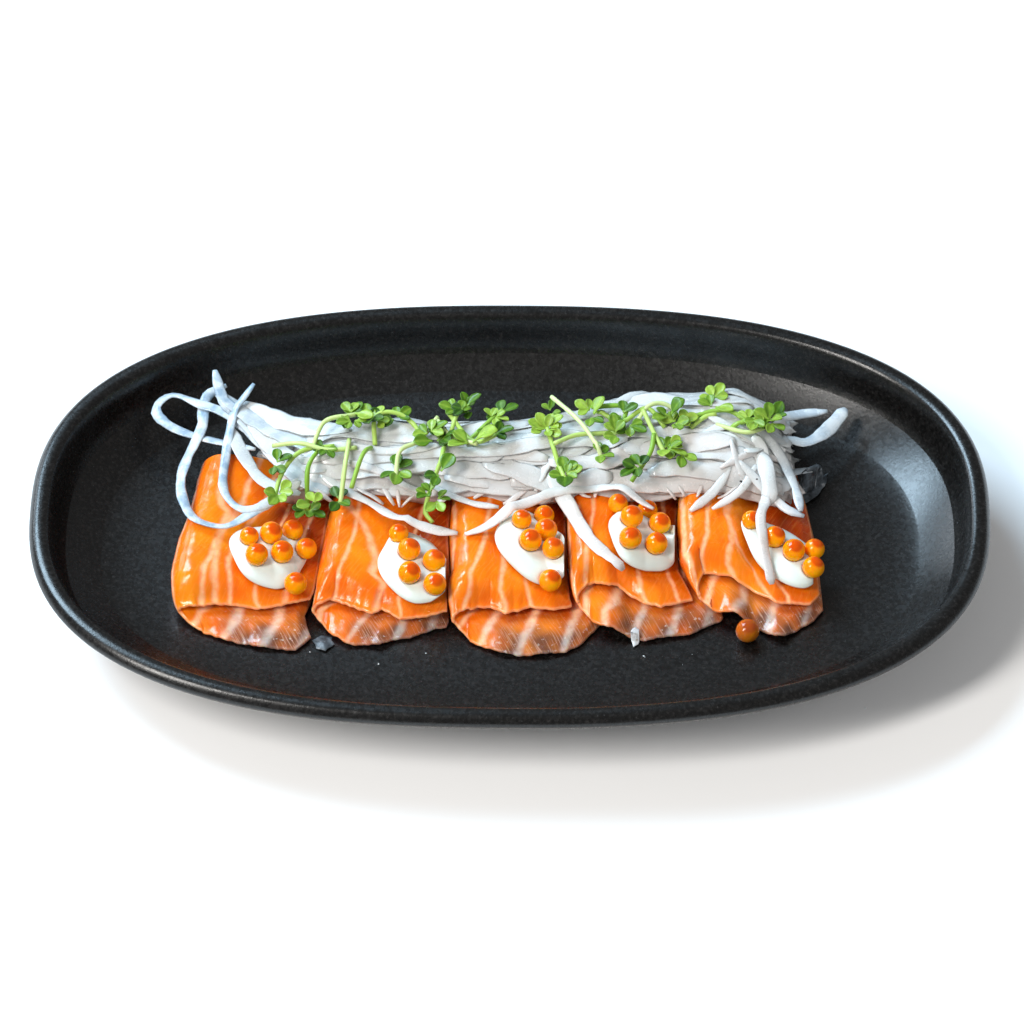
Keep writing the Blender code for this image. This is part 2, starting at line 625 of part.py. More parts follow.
def make_tube(name, path, radius, sides, slot):
    points = []
    count = len(path)
    for i, here in enumerate(path):
        ahead = path[min(count - 1, i + 1)] - path[max(0, i - 1)]
        ahead.normalize()
        side = ahead.cross(Vector((0, 0, 1)))
        if side.length < 0.2:
            side = ahead.cross(Vector((0, 1, 0)))
        side.normalize()
        up = side.cross(ahead).normalized()
        for k in range(sides):
            turn = 2 * math.pi * k / sides
            points.append(tuple(here + (side * math.cos(turn) + up * math.sin(turn)) * radius))
    faces = [tuple(range(sides)), tuple(sides * (count - 1) + k for k in reversed(range(sides)))]
    for i in range(count - 1):
        a = sides * i
        for k in range(sides):
            n = (k + 1) % sides
            faces.append((a + k, a + sides + k, a + sides + n))
            faces.append((a + k, a + sides + n, a + n))
    return solid(name, points, faces, slot)


def make_leaf(name, centre, turn, size, tilt, pile, slot):
    """A thin wavy leaf."""
    outline = [(-0.62, 0.0), (-0.15, 0.46), (0.38, 0.42), (0.56, 0.0), (0.38, -0.42), (-0.15, -0.46)]
    ahead = Vector((math.cos(turn), math.sin(turn), 0.0))
    side = Vector((-math.sin(turn), math.cos(turn), 0.0))
    up = Vector((0, 0, 1)) * math.cos(tilt) - ahead * math.sin(tilt)
    ahead = ahead * math.cos(tilt) + Vector((0, 0, 1)) * math.sin(tilt)
    points = []
    for face in (1, -1):
        middle = Vector(centre) + up * (face * LEAF_THICKNESS / 2 - 0.25)
        points.append(tuple(middle))
        for k, (u, w) in enumerate(outline):
            wave = 0.35 * math.cos(k * 2.1)
            rim = Vector(centre) + ahead * (u * LEAF_LENGTH * size) + side * (w * LEAF_WIDTH * 2 * size)
            points.append(tuple(rim + up * (wave + face * LEAF_THICKNESS / 2)))
    count = len(outline)
    low = count + 1
    faces = []
    for k in range(count):
        n = (k + 1) % count
        faces.append((0, 1 + k, 1 + n))
        faces.append((low, low + 1 + n, low + 1 + k))
        faces.append((1 + k, low + 1 + k, low + 1 + n))
        faces.append((1 + k, low + 1 + n, 1 + n))
    rise = shortage(points, faces, pile, GAP)
    points = [(x, y, z + rise) for x, y, z in points]
    return solid(name, points, faces, slot)


def settle(points, pile, reach, clear):
    """Lift a path until it clears the pile, then ease it so that it hangs evenly."""
    need = [pile.over(p.x, p.y, reach) + clear for p in points]
    high = [max(p.z, n) for p, n in zip(points, need)]
    for _ in range(6):
        for i in range(1, len(high) - 1):
            mean = (high[i - 1] + high[i + 1]) / 2
            high[i] = max(need[i], high[i] + 0.6 * (mean - high[i]))
    for _ in range(8):
        for i in range(len(points) - 1):
            for part in (0.2, 0.4, 0.6, 0.8):
                here = points[i].lerp(points[i + 1], part)
                short = pile.over(here.x, here.y, reach) + clear - (high[i] * (1 - part) + high[i + 1] * part)
                if short > 0:
                    scale = short / ((1 - part) ** 2 + part ** 2)
                    high[i] += scale * (1 - part)
                    high[i + 1] += scale * part
    return [Vector((p.x, p.y, h)) for p, h in zip(points, high)]


def heap_shape(x):
    """Middle line, half width and height of the heap of shreds at a place along it."""
    grown = smooth(x / 45.0) * smooth((88.0 - x) / 20.0)
    sizes = (HEAP_MIDDLE, HEAP_HALF, HEAP_HEIGHT)
    return [size + more * grown for size, more in zip(sizes, HEAP_GROWTH)]


def heap_top(x, y):
    """Height of the heap of shreds above the table."""
    middle, half, high = heap_shape(x)
    across = (y - middle) / half
    ends = smooth((x + 68.0) / 14.0) * smooth((78.0 - x) / 16.0)
    bumps = 0.8 * math.sin(x * 0.23) * math.cos(y * 0.31) + 0.6 * math.sin(x * 0.11 + 1.0)
    base = 8.0 - 6.0 * smooth((y - middle - 2.0) / (half - 2.5))
    dome = math.sqrt(max(0.0, 1.0 - across * across))
    return FLOOR + base + (high - base + bumps) * dome * (0.35 + 0.65 * ends)


def bed(grid, pile, clear):
    """Heights of a grid laid on the pile, raised where a cell would dip into it."""
    low = [[pile.over(x, y, 1.5) + clear for x, y in row] for row in grid]
    most = [row[:] for row in low]
    tests = []
    for j in range(len(grid) - 1):
        for i in range(len(grid[0]) - 1):
            for u in (0.0, 0.2, 0.4, 0.6, 0.8, 1.0):
                for v in (0.0, 0.2, 0.4, 0.6, 0.8, 1.0):
                    if u >= v:
                        weights = {(j, i): 1 - u, (j, i + 1): u - v, (j + 1, i + 1): v}
                    else:
                        weights = {(j, i): 1 - v, (j + 1, i): v - u, (j + 1, i + 1): u}
                    x = sum(grid[a][b][0] * w for (a, b), w in weights.items())
                    y = sum(grid[a][b][1] * w for (a, b), w in weights.items())
                    need = pile.over(x, y, 0.8) + clear
                    tests.append((weights, need))
                    for (a, b), w in weights.items():
                        if w > 0.0:
                            most[a][b] = max(most[a][b], need)
    for _ in range(12):
        for weights, need in tests:
            short = need - sum(low[a][b] * w for (a, b), w in weights.items())
            if short > 0:
                scale = short / sum(w * w for w in weights.values())
                for (a, b), w in weights.items():
                    low[a][b] = min(most[a][b], low[a][b] + scale * w)
    return low


def make_heap(pile, slot, rng):
    """A core that follows the heap's shape, with loose shreds and shreds of the heap fused to it."""
    xs = np.linspace(-64.0, 73.0, 20)
    grid = []
    for part in (-0.87, -0.5, -0.12, 0.24, 0.58, 0.92):
        row = []
        for x in xs:
            middle, half, high = heap_shape(x)
            row.append((x, middle + half * part))
        grid.append(row)
    low = bed(grid, pile, GAP + 0.15)
    top = []
    under = []
    for row, heights in zip(grid, low):
        top.append([(x, y, max(heap_top(x, y) - 0.8, z + 1.0)) for (x, y), z in zip(row, heights)])
        under.append([(x, y, z) for (x, y), z in zip(row, heights)])
    points, faces = sheet(top, under)
    core = solid("radish_shreds", points, faces, slot)
    pieces = []
    for i, (path, width) in enumerate(SHREDS):
        path = even_path([(x, y, FLOOR + z) for x, y, z in path], 7.5)
        path = settle(path, pile, width / 2 + 0.8, SHRED_THICKNESS / 2 + 0.55)
        pieces.append(make_strip("shred_%d" % i, path, width, SHRED_THICKNESS, 0.15, slot))
    for i in range(FILL_SHREDS):
        start = -66.0 + 122.0 * ((i * 0.7548777) % 1.0)
        length = rng.uniform(28.0, 48.0)
        part = -0.78 + 1.5 * ((i * 0.5698403 + 0.3) % 1.0)
        drift = rng.uniform(-0.35, 0.35)
        path = []
        for k in range(5):
            t = k / 4
            x = min(74.0, start + length * t)
            middle, half, high = heap_shape(x)
            side = min(0.8, max(-0.8, part + drift * t + 0.08 * math.sin(t * 3.1 + i)))
            y = middle + half * side
            path.append((x, y, heap_top(x, y) + 0.1 + rng.uniform(-0.3, 0.5)))
        path = even_path(path, 13.0)
        path = settle(path, pile, 2.4, SHRED_THICKNESS / 2 + 0.55)
        width = SHRED_WIDTH + rng.uniform(-0.6, 0.8)
        pieces.append(make_strip("fill_%d" % i, path, width, SHRED_THICKNESS + 0.3, 0.5, slot))
    join(core, pieces)
    return core


def make_cress(name, stems, leaves, centre, half, turn, pile, slot, rng):
    """A tuft of sprigs that cross one another over a small core of matted stems."""
    shape = bmesh.new()
    bmesh.ops.create_icosphere(shape, subdivisions=2, radius=1.0)
    points = []
    for v in shape.verts:
        u = v.co.x * half[0]
        w = v.co.y * half[1]
        x = centre[0] + u * math.cos(turn) - w * math.sin(turn)
        y = centre[1] + u * math.sin(turn) + w * math.cos(turn)
        points.append((x, y, pile.over(x, y, 3.0) + GAP + 0.3 + half[2] * (1 + v.co.z)))
    faces = [tuple(v.index for v in f.verts) for f in shape.faces]
    shape.free()
    for _ in range(3):
        for face in faces:
            short = shortage(points, [face], pile, GAP)
            for k in face:
                points[k] = (points[k][0], points[k][1], points[k][2] + short)
    core = solid(name, points, faces, slot)
    pieces = []
    for i, stem in enumerate(stems):
        path = [(x, y, pile.over(x, y, 1.5) + z) for x, y, z in stem]
        path = even_path(path, 6.5)
        path = settle(path, pile, 1.6, STEM_RADIUS + 0.5)
        pieces.append(make_tube("stem_%d" % i, path, STEM_RADIUS, 4, slot))
    for i, (x, y, z, angle, size) in enumerate(leaves):
        tilt = rng.uniform(-0.1, 0.45)
        reach = LEAF_LENGTH * size * 0.62
        high = pile.over(x, y, reach) + max(z, 1.3 + abs(math.sin(tilt)) * reach)
        pieces.append(make_leaf("leaf_%d" % i, (x, y, high), math.radians(angle), size, tilt, pile, slot))
    join(core, pieces)
    return core


def main():
    for old in list(bpy.data.objects):
        bpy.data.objects.remove(old, do_unlink=True)
    rng = random.Random(7)
    ware = material("black_stoneware", (0.02, 0.02, 0.022), 0.3)
    fish = material("raw_salmon", (0.86, 0.25, 0.05), 0.3)
    cream = material("white_cream", (0.9, 0.9, 0.85), 0.35)
    egg = material("orange_roe", (0.9, 0.25, 0.02), 0.1)
    root = material("white_radish", (0.8, 0.8, 0.82), 0.3)
    herb = material("green_cress", (0.12, 0.4, 0.03), 0.4)

    pile = Pile()
    dish = make_dish(ware)
    pile.add(dish)

    for k, data in enumerate(SLICES):
        if k < 4:
            following = SLICES[k + 1]["left"]
            data["top_right"] = lambda y, line=following: along(line, y) - 0.85
        else:
            data["top_right"] = lambda y, line=data["right"]: along(line, y) - 0.8
    low = [0.0, 0.02, 0.08, 0.15, 0.22, 0.29, 0.36]
    arc = [0.40, 0.44, 0.48, 0.52, 0.56]
    high = [0.60, 0.68, 0.76, 0.84, 0.91, 0.98, 1.0]
    deep = [0.0, 0.05, 0.3, 0.6, 0.95, 1.0]
    for k, data in enumerate(SLICES):
        pile.add(make_slice("salmon_slice_%d" % (k + 1), data, fish, low + arc + high, deep))

    creams = [make_cream("cream_%d" % (k + 1), data, pile, cream) for k, data in enumerate(CREAMS)]
    soft = Pile()
    for body in creams:
        soft.add(body)
    balls = []
    for k, group in enumerate(EGGS):
        cutters = []
        for n, (x, y, radius) in enumerate(group):
            rest = pile.ball(x, y, radius) + GAP
            sunk = soft.ball(x, y, radius) - EGG_SINK
            centre = (x, y, max(rest, sunk))
            balls.append(make_ball("roe_%d_%d" % (k + 1, n + 1), centre, radius, egg))
            cutters.append(make_ball("socket", centre, radius + SOCKET_GAP, egg))
        carve(creams[k], cutters)
    x, y, radius = LONE_EGG
    balls.append(make_ball("roe_loose", (x, y, FLOOR + radius + 0.3), radius, egg))
    for body in creams + balls:
        pile.add(body)

    heap = make_heap(pile, root, rng)
    pile.add(heap)
    left = make_cress("cress_left", LEFT_STEMS, LEFT_LEAVES, (-33, 21), (27, 3.2, 1.3), 0.05, pile, herb, rng)
    pile.add(left)
    make_cress("cress_right", RIGHT_STEMS, RIGHT_LEAVES, (40, 28), (24, 3.0, 1.3), 0.12, pile, herb, rng)


main()
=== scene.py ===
"""Looks of the salmon ceviche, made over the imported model."""
import json
import math
import random
import bpy
import bmesh
import numpy as np
from mathutils import Matrix, Vector, noise
from mathutils.bvhtree import BVHTree


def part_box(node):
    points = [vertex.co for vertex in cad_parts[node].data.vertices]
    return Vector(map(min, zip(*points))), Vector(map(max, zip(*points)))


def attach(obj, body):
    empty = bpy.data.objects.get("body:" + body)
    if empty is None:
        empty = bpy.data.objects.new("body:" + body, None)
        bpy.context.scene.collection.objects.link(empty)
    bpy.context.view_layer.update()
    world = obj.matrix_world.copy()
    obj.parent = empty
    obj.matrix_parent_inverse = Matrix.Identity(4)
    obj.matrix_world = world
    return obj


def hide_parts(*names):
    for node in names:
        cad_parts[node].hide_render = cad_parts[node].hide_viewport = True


# All measures are in millimetres, and MM turns them into metres.
MM = 0.001

# Clearance between pieces that lie on one another, and the height that the cress stays under.
GAP = 0.35
TALLEST = 34.2

# Dish
DISH_LENGTH = 260.0
DISH_WIDTH = 152.8
DISH_POWER = 2.49
DISH_HEIGHT = 26.5
BEAD_RADIUS = 3.0
FLOOR = 8.0

# Salmon: thickness of a slice, place of its hidden back edge, and how far the mouth of each fold is
# pressed together.
SLICE_THICKNESS = 2.6
BACK_EDGE = 25.0
PINCH = 0.55

# Where along a slice's sheet its lower layer ends and its upper one begins, between 0 and 1.
LAYER_PARTS = (0.36, 0.60)

# Radish and cress. The heap's growth is what its middle, half width and height gain towards the right.
HEAP_MIDDLE = 23.0
HEAP_HALF = 15.5
HEAP_HEIGHT = 18.5
HEAP_GROWTH = (6.0, 5.5, 3.0)
SHRED_THICKNESS = 1.1
STEM_RADIUS = 0.65
LEAF_LENGTH = 5.6

# Each slice, seen from above: its edges as points, radius of its fold, how far it is lifted by its
# neighbour and up to where, and how much its lower layer waves.
SLICES = [
    {
        "left": [(-30, -88.5), (-24, -90.8), (-15, -91.5), (-4, -90.2), (6, -87.6), (18, -86.1),
                 (25, -84.8)],
        "right": [(-38, -54), (-33, -53), (-29, -54.2), (-25, -55), (-20, -53.4), (-6, -51.4), (9, -49.6),
                  (25, -47.8)],
        "front": [(-90, -26), (-87, -30), (-77.5, -34), (-67.5, -36.5), (-56.5, -37.5), (-53, -33)],
        "top_front": [(-84, -26), (-79.5, -25), (-73.5, -25), (-67.5, -26), (-62, -25), (-54.5, -23)],
        "fold": 6.1, "lift": 0.0, "lift_end": 0.0, "ruffle": 0.7, "phase": 0.4,
    },
    {
        "left": [(-25, -54), (-20, -52.3), (-6, -51), (9, -49.2), (25, -47.4)],
        "right": [(-33, -20), (-30, -17), (-27, -16), (-18.7, -15.9), (-14.7, -15.2), (0, -16),
                  (12.7, -15.5), (25, -15)],
        "front": [(-53, -25.5), (-46, -32.5), (-41.5, -35.5), (-32, -35.5), (-28, -33.5), (-23, -32.5),
                  (-19, -29.5), (-16, -29)],
        "top_front": [(-48, -23), (-44.5, -24), (-36.5, -27.5), (-34, -26), (-29, -29.5), (-23, -29),
                      (-17, -27)],
        "fold": 5.4, "lift": 0.0, "lift_end": 0.0, "ruffle": 0.9, "phase": 1.7,
    },
    {
        "left": [(-26, -16.2), (-18.7, -16.4), (-14.7, -15.7), (0, -16.5), (12.7, -16), (25, -15.5)],
        "right": [(-39, 20.5), (-35.5, 22), (-30, 24), (-27, 25), (-20, 24.5), (25, 23.5)],
        "front": [(-15, -28.5), (-9, -34), (-0.7, -38), (6.3, -39), (12.7, -38.5), (19, -37.5),
                  (22, -35.5), (25, -28)],
        "top_front": [(-12, -27), (-8.3, -25.7), (-4.3, -25.3), (-0.2, -27.4), (4, -26.4), (7, -25.3),
                      (13.7, -26.3), (19, -25)],
        "fold": 5.8, "lift": 0.0, "lift_end": 0.0, "ruffle": 0.6, "phase": 2.6,
    },
    {
        "left": [(-24, 17.4), (-22, 16.9), (-12, 16), (1.7, 15.6), (25, 15)],
        "right": [(-34, 53), (-31, 55), (-27.5, 57), (-25, 58), (-18, 56.5), (25, 55.5)],
        "front": [(22, -24.5), (28, -30), (34.5, -32), (41, -33.5), (47.5, -32), (52.5, -31), (55, -28.5),
                  (58, -26)],
        "top_front": [(19.8, -20.3), (23.3, -18.5), (27.4, -19.2), (30, -18.5), (33, -21), (36.6, -23.7),
                      (41, -25), (45, -24), (50, -22)],
        "fold": 4.9, "lift": 3.05, "lift_end": 26.0, "ruffle": 0.8, "phase": 3.9,
    },
    {
        "left": [(-21.3, 50), (-16.6, 48.4), (-11.2, 46.2), (2.6, 45.5), (14.3, 46), (25, 46.5)],
        "right": [(-33, 83), (-26, 85), (-22, 85), (-10, 84.2), (4.6, 82.8), (15.6, 81), (25, 79)],
        "front": [(54, -22), (60, -25.7), (63.5, -26.7), (68, -27.8), (71, -30), (74.5, -32.5),
                  (77, -32.5), (79, -30), (82.7, -26.3), (85, -22)],
        "top_front": [(54.6, -15), (58.6, -16), (63, -18.5), (68.6, -23), (72.4, -23.7), (77.5, -23.5),
                      (80, -19.5)],
        "fold": 4.9, "lift": 3.05, "lift_end": 59.0, "ruffle": 2.4, "phase": 5.1,
    },
]

# Each cream dollop: centre, half length, half width, turn of its long axis in degrees, height, right limit.
CREAMS = [
    {"at": (-65.0, -10.8), "half": (10.6, 10.3), "turn": 90, "high": 4.6, "limit": -54.4},
    {"at": (-25.4, -14.6), "half": (12.8, 9.2), "turn": -68, "high": 4.6, "limit": -16.9},
    {"at": (6.4, -7.8), "half": (13.6, 9.0), "turn": -63, "high": 4.8, "limit": 15.0},
    {"at": (36.2, -5.6), "half": (10.4, 9.3), "turn": -60, "high": 4.6, "limit": 44.8},
    {"at": (74.0, -8.6), "half": (13.6, 7.8), "turn": -46, "high": 4.2, "limit": 82.2},
]

# Roe eggs of each dollop: place and radius.
EGGS = [
    [(-70.2, -8.6, 2.6), (-67.9, -15.0, 3.1), (-64.4, -6.6, 3.1), (-61.2, -12.6, 3.1), (-58.8, -2.8, 2.9),
     (-54.9, -9.0, 2.9), (-57.3, -21.6, 3.1)],
    [(-26.9, -12.0, 3.1), (-26.6, -19.9, 3.1), (-20.1, -14.9, 3.1), (-19.7, -22.9, 3.1), (-29.9, -5.6, 2.7)],
    [(5.9, -9.6, 3.1), (12.0, -12.0, 3.0), (11.3, -20.3, 3.1), (10.0, -4.6, 3.1), (9.4, 2.3, 2.8),
     (3.4, -2.4, 2.7)],
    [(32.9, -9.6, 3.1), (39.9, -9.0, 3.1), (33.2, -2.0, 3.1), (40.8, -1.0, 3.0), (29.4, 4.6, 2.7),
     (37.4, 5.2, 2.8)],
    [(65.6, -0.6, 2.6), (71.8, -6.2, 3.0), (77.0, -10.6, 3.1), (82.6, -8.6, 2.8), (82.2, -15.4, 3.0)],
]
LONE_EGG = (64.4, -31.8, 3.2)

# Long loose shreds that leave the heap: points along each, with height above the floor of the dish, then
# width.
SHREDS = [
    ([(-62, 18, 15), (-77, 35, 15), (-86, 40, 15), (-93, 44, 14), (-97, 42, 14), (-98, 38, 13.5),
      (-95, 34, 13.5), (-90, 31, 13), (-82, 28, 13), (-70, 24, 14)], 3.0),
    ([(-79, 47, 15), (-84, 44, 14), (-85, 38, 14), (-85, 33, 14), (-87, 26, 13.5), (-89, 20, 13),
      (-90, 13, 13), (-89, 6, 13.5), (-86, -1, 14), (-81, -4, 14.3), (-76, -4, 14), (-70, 1, 13.5),
      (-57, 12, 14)], 3.2),
    ([(-82, 48, 20), (-80, 41, 18), (-77, 37, 16), (-60, 23, 15)], 3.4),
    ([(-71, 43, 20), (-74, 39, 18), (-76, 36, 17), (-77, 31, 16), (-78, 21, 14), (-78, 9, 14),
      (-73, 2, 14), (-66, 4, 14), (-57, 14, 14)], 2.6),
    ([(-52, 14, 15), (-45, 10, 13), (-38, 6, 12), (-31, 0, 13), (-24, -3, 13), (-14, -5, 11)], 3.2),
    ([(-25, 14, 15), (-20, 10, 14), (-14, 7, 13), (-9, 5, 13), (-3, 4, 13)], 2.4),
    ([(-12, -6, 13), (-7, -4, 13), (-2, -1, 13), (2, 2, 14), (7, 5, 15), (13, 8, 15), (26, 9, 15),
      (33, 6, 15), (39, 1, 15)], 2.8),
    ([(11, 13.2, 16.9), (13, 9, 15), (16, 4, 13), (19, -3, 13), (23, -10, 13), (31, -18, 11)], 3.8),
    ([(14, 19.7, 19.5), (9.1, 13.8, 17.4), (7, 9, 14)], 2.6),
    ([(60, 14.5, 18.7), (56, 9, 15), (49, 2, 13)], 2.8),
    ([(67, 15.5, 17.7), (63, 9, 15), (55, 3, 13)], 2.6),
    ([(64, 12, 16), (62, 15, 19.1), (60, 20, 23)], 2.4),
    ([(66.1, 23.5, 20.8), (69, 20.3, 17.7), (70, 12, 15), (69, 3, 14), (68, -3, 14), (69, -11, 13),
      (71, -20, 9)], 3.0),
    ([(62.1, 27.2, 22.2), (68, 26.7, 19.5), (73, 22, 16), (76, 16, 14), (78, 10, 13), (79, 3, 13)], 3.0),
    ([(64, 18, 20.5), (75, 29, 13), (81, 30, 11), (87, 35, 11), (92, 42, 12)], 3.8),
    ([(49.1, 21.7, 20.6), (58.1, 26.3, 22.2), (65.2, 29.5, 21.1), (78, 40, 11), (87, 42, 11)], 3.0),
    ([(62.1, 15.8, 19.6), (70, 9, 14), (75, 4, 13), (80, 2, 12)], 2.6),
    ([(62, 13, 17.4), (72, 16, 13.5), (79, 22, 8), (85, 25, 6)], 3.0),
]

# Stems of the cress: points with height above the pile under them.
LEFT_STEMS = [
    [(-65, 22, 2), (-57, 20, 3), (-50, 18, 2), (-42, 20, 1)],
    [(-64, 2, 3), (-62, 11, 4), (-57, 18, 3), (-48, 20, 1)],
    [(-55, 4, 2), (-55, 12, 3), (-52, 19, 1.5)],
    [(-54, 19, 2), (-51, 26, 5), (-45, 28, 6), (-42, 30, 5)],
    [(-44, 22, 2), (-45, 12, 4), (-46, 4, 3)],
    [(-43, 6, 3), (-40, 15, 4), (-38, 20, 1)],
    [(-37, 21, 1), (-37, 29, 5), (-31, 30, 6), (-26, 27, 3), (-24, 21, 1)],
    [(-20, 29, 5), (-25, 21, 2), (-30, 17, 3), (-31, 10, 3)],
    [(-20, 28, 5), (-16, 22, 2), (-9, 18, 4)],
    [(-17, 30, 5), (-10, 21, 2), (-3, 22, 4)],
    [(-18, 20, 1), (-19, 13, 4), (-23, 5, 4), (-21, 1, 3)],
    [(-13, 35, 7), (-15, 29, 5), (-17, 21, 1)],
    [(-2, 33, 5), (-7, 26, 3), (-12, 21, 1)],
]
RIGHT_STEMS = [
    [(10, 24, 2.6), (13, 14, 2.8), (15, 8, 3.3)],
    [(11, 36, 6.4), (18, 27, 2.6), (22, 21, 2.1), (25, 16, 2.2)],
    [(12, 18, 2.7), (18, 22, 2.1), (26, 23.5, 1.5), (33.1, 24, 1.1)],
    [(45.3, 31.1, 2.1), (41.1, 32.5, 2.1), (37.1, 30.7, 2.1), (33.1, 24, 1.1)],
    [(24.3, 30, 2), (30.4, 26.3, 2.1), (37.1, 30.7, 2.1), (42.1, 25.7, 1.1)],
    [(36.1, 29.7, 2.1), (39, 22.7, 2.1), (42, 16.7, 2.1)],
    [(33, 10, 2.8), (38, 16, 2.8), (39.1, 21.8, 2.1)],
    [(44.1, 25.8, 1.1), (52.2, 29.6, 2.1), (59.6, 30.3, 2.8), (65.2, 25.6, 1.4)],
    [(56.2, 29.5, 2.1), (53.2, 28.8, 2), (49.1, 25.3, 1.1)],
    [(60.1, 25.1, 1.1), (67.6, 27.9, 2.5), (72.1, 33.8, 2.1)],
    [(70.1, 25.5, 2.2), (64.2, 22.8, 2.2), (56.1, 26.5, 1)],
    [(30.1, 25.2, 1.1), (31.1, 31.2, 2.1), (22, 31.7, 2)],
]

# Leaves of the cress: place, height above the pile under it, direction in degrees, size factor.
LEFT_LEAVES = [
    (-49, 16, 2, 300, 0.9), (-62, 16, 5, 60, 1.0), (-64, 0, 3, 250, 1.2),
    (-56, 1, 2, 220, 1.0), (-52, 2, 2, 330, 1.1), (-46, 2, 3, 280, 1.1), (-42, 32, 5, 60, 1.1),
    (-40, 28, 5, 330, 1.1), (-46, 25, 5, 200, 0.9), (-37, 25, 4, 300, 1.2),
    (-29, 31, 5, 40, 1.0), (-24, 20, 2, 200, 1.1),
    (-19, 25, 3, 30, 1.1), (-16, 20, 2, 330, 1.1), (-13, 37, 7, 110, 1.0), (-10, 34, 6, 40, 1.0),
    (-18, 32, 5, 170, 1.0), (-1, 34, 5, 60, 1.1), (-2, 27, 3, 330, 0.9),
    (-6, 19, 4, 10, 1.6), (-1, 22, 4, 10, 1.1), (-20, -1, 3, 260, 1.0), (-31, 8, 3, 265, 1.4),
    (-17, 12, 4, 60, 1.2), (-24, 2, 4, 230, 0.9), (-37, 31, 5, 100, 0.9),
]
RIGHT_LEAVES = [
    (8, 26, 2.7, 130, 1.1), (6, 23, 2.9, 190, 1.0), (13, 26, 2.3, 20, 1.0), (15, 6, 3, 270, 1.3),
    (18, 11, 2.9, 20, 1.0), (26, 14, 2.4, 300, 1.0), (19.1, 32.2, 2.1, 150, 1.0), (24.1, 31, 2.1, 60, 1.1),
    (28.1, 24.8, 2, 100, 1.1), (32.1, 31.2, 2.1, 60, 1.0), (35.1, 23.2, 2.1, 330, 1.1),
    (42, 14.8, 2.2, 250, 1.1), (46, 16, 2.7, 330, 1.2), (48, 13, 2.3, 300, 1.1), (32, 8, 4.2, 220, 1.2),
    (46.1, 30.3, 2.2, 40, 1.2), (49.1, 27.5, 2.2, 10, 1.1), (47.1, 23.8, 2.1, 320, 1.1),
    (57, 39, 2, 60, 1.1), (58.5, 30.4, 2.4, 330, 1.1), (67.8, 24.4, 2.6, 316, 1.0),
    (68.8, 29.4, 2.7, 124, 1.2), (73.2, 33.5, 2.1, 60, 1.3), (72, 26.7, 2.1, 340, 1.1),
    (66.2, 23.6, 2, 250, 1.0), (10, 38, 4.8, 110, 0.7),
]

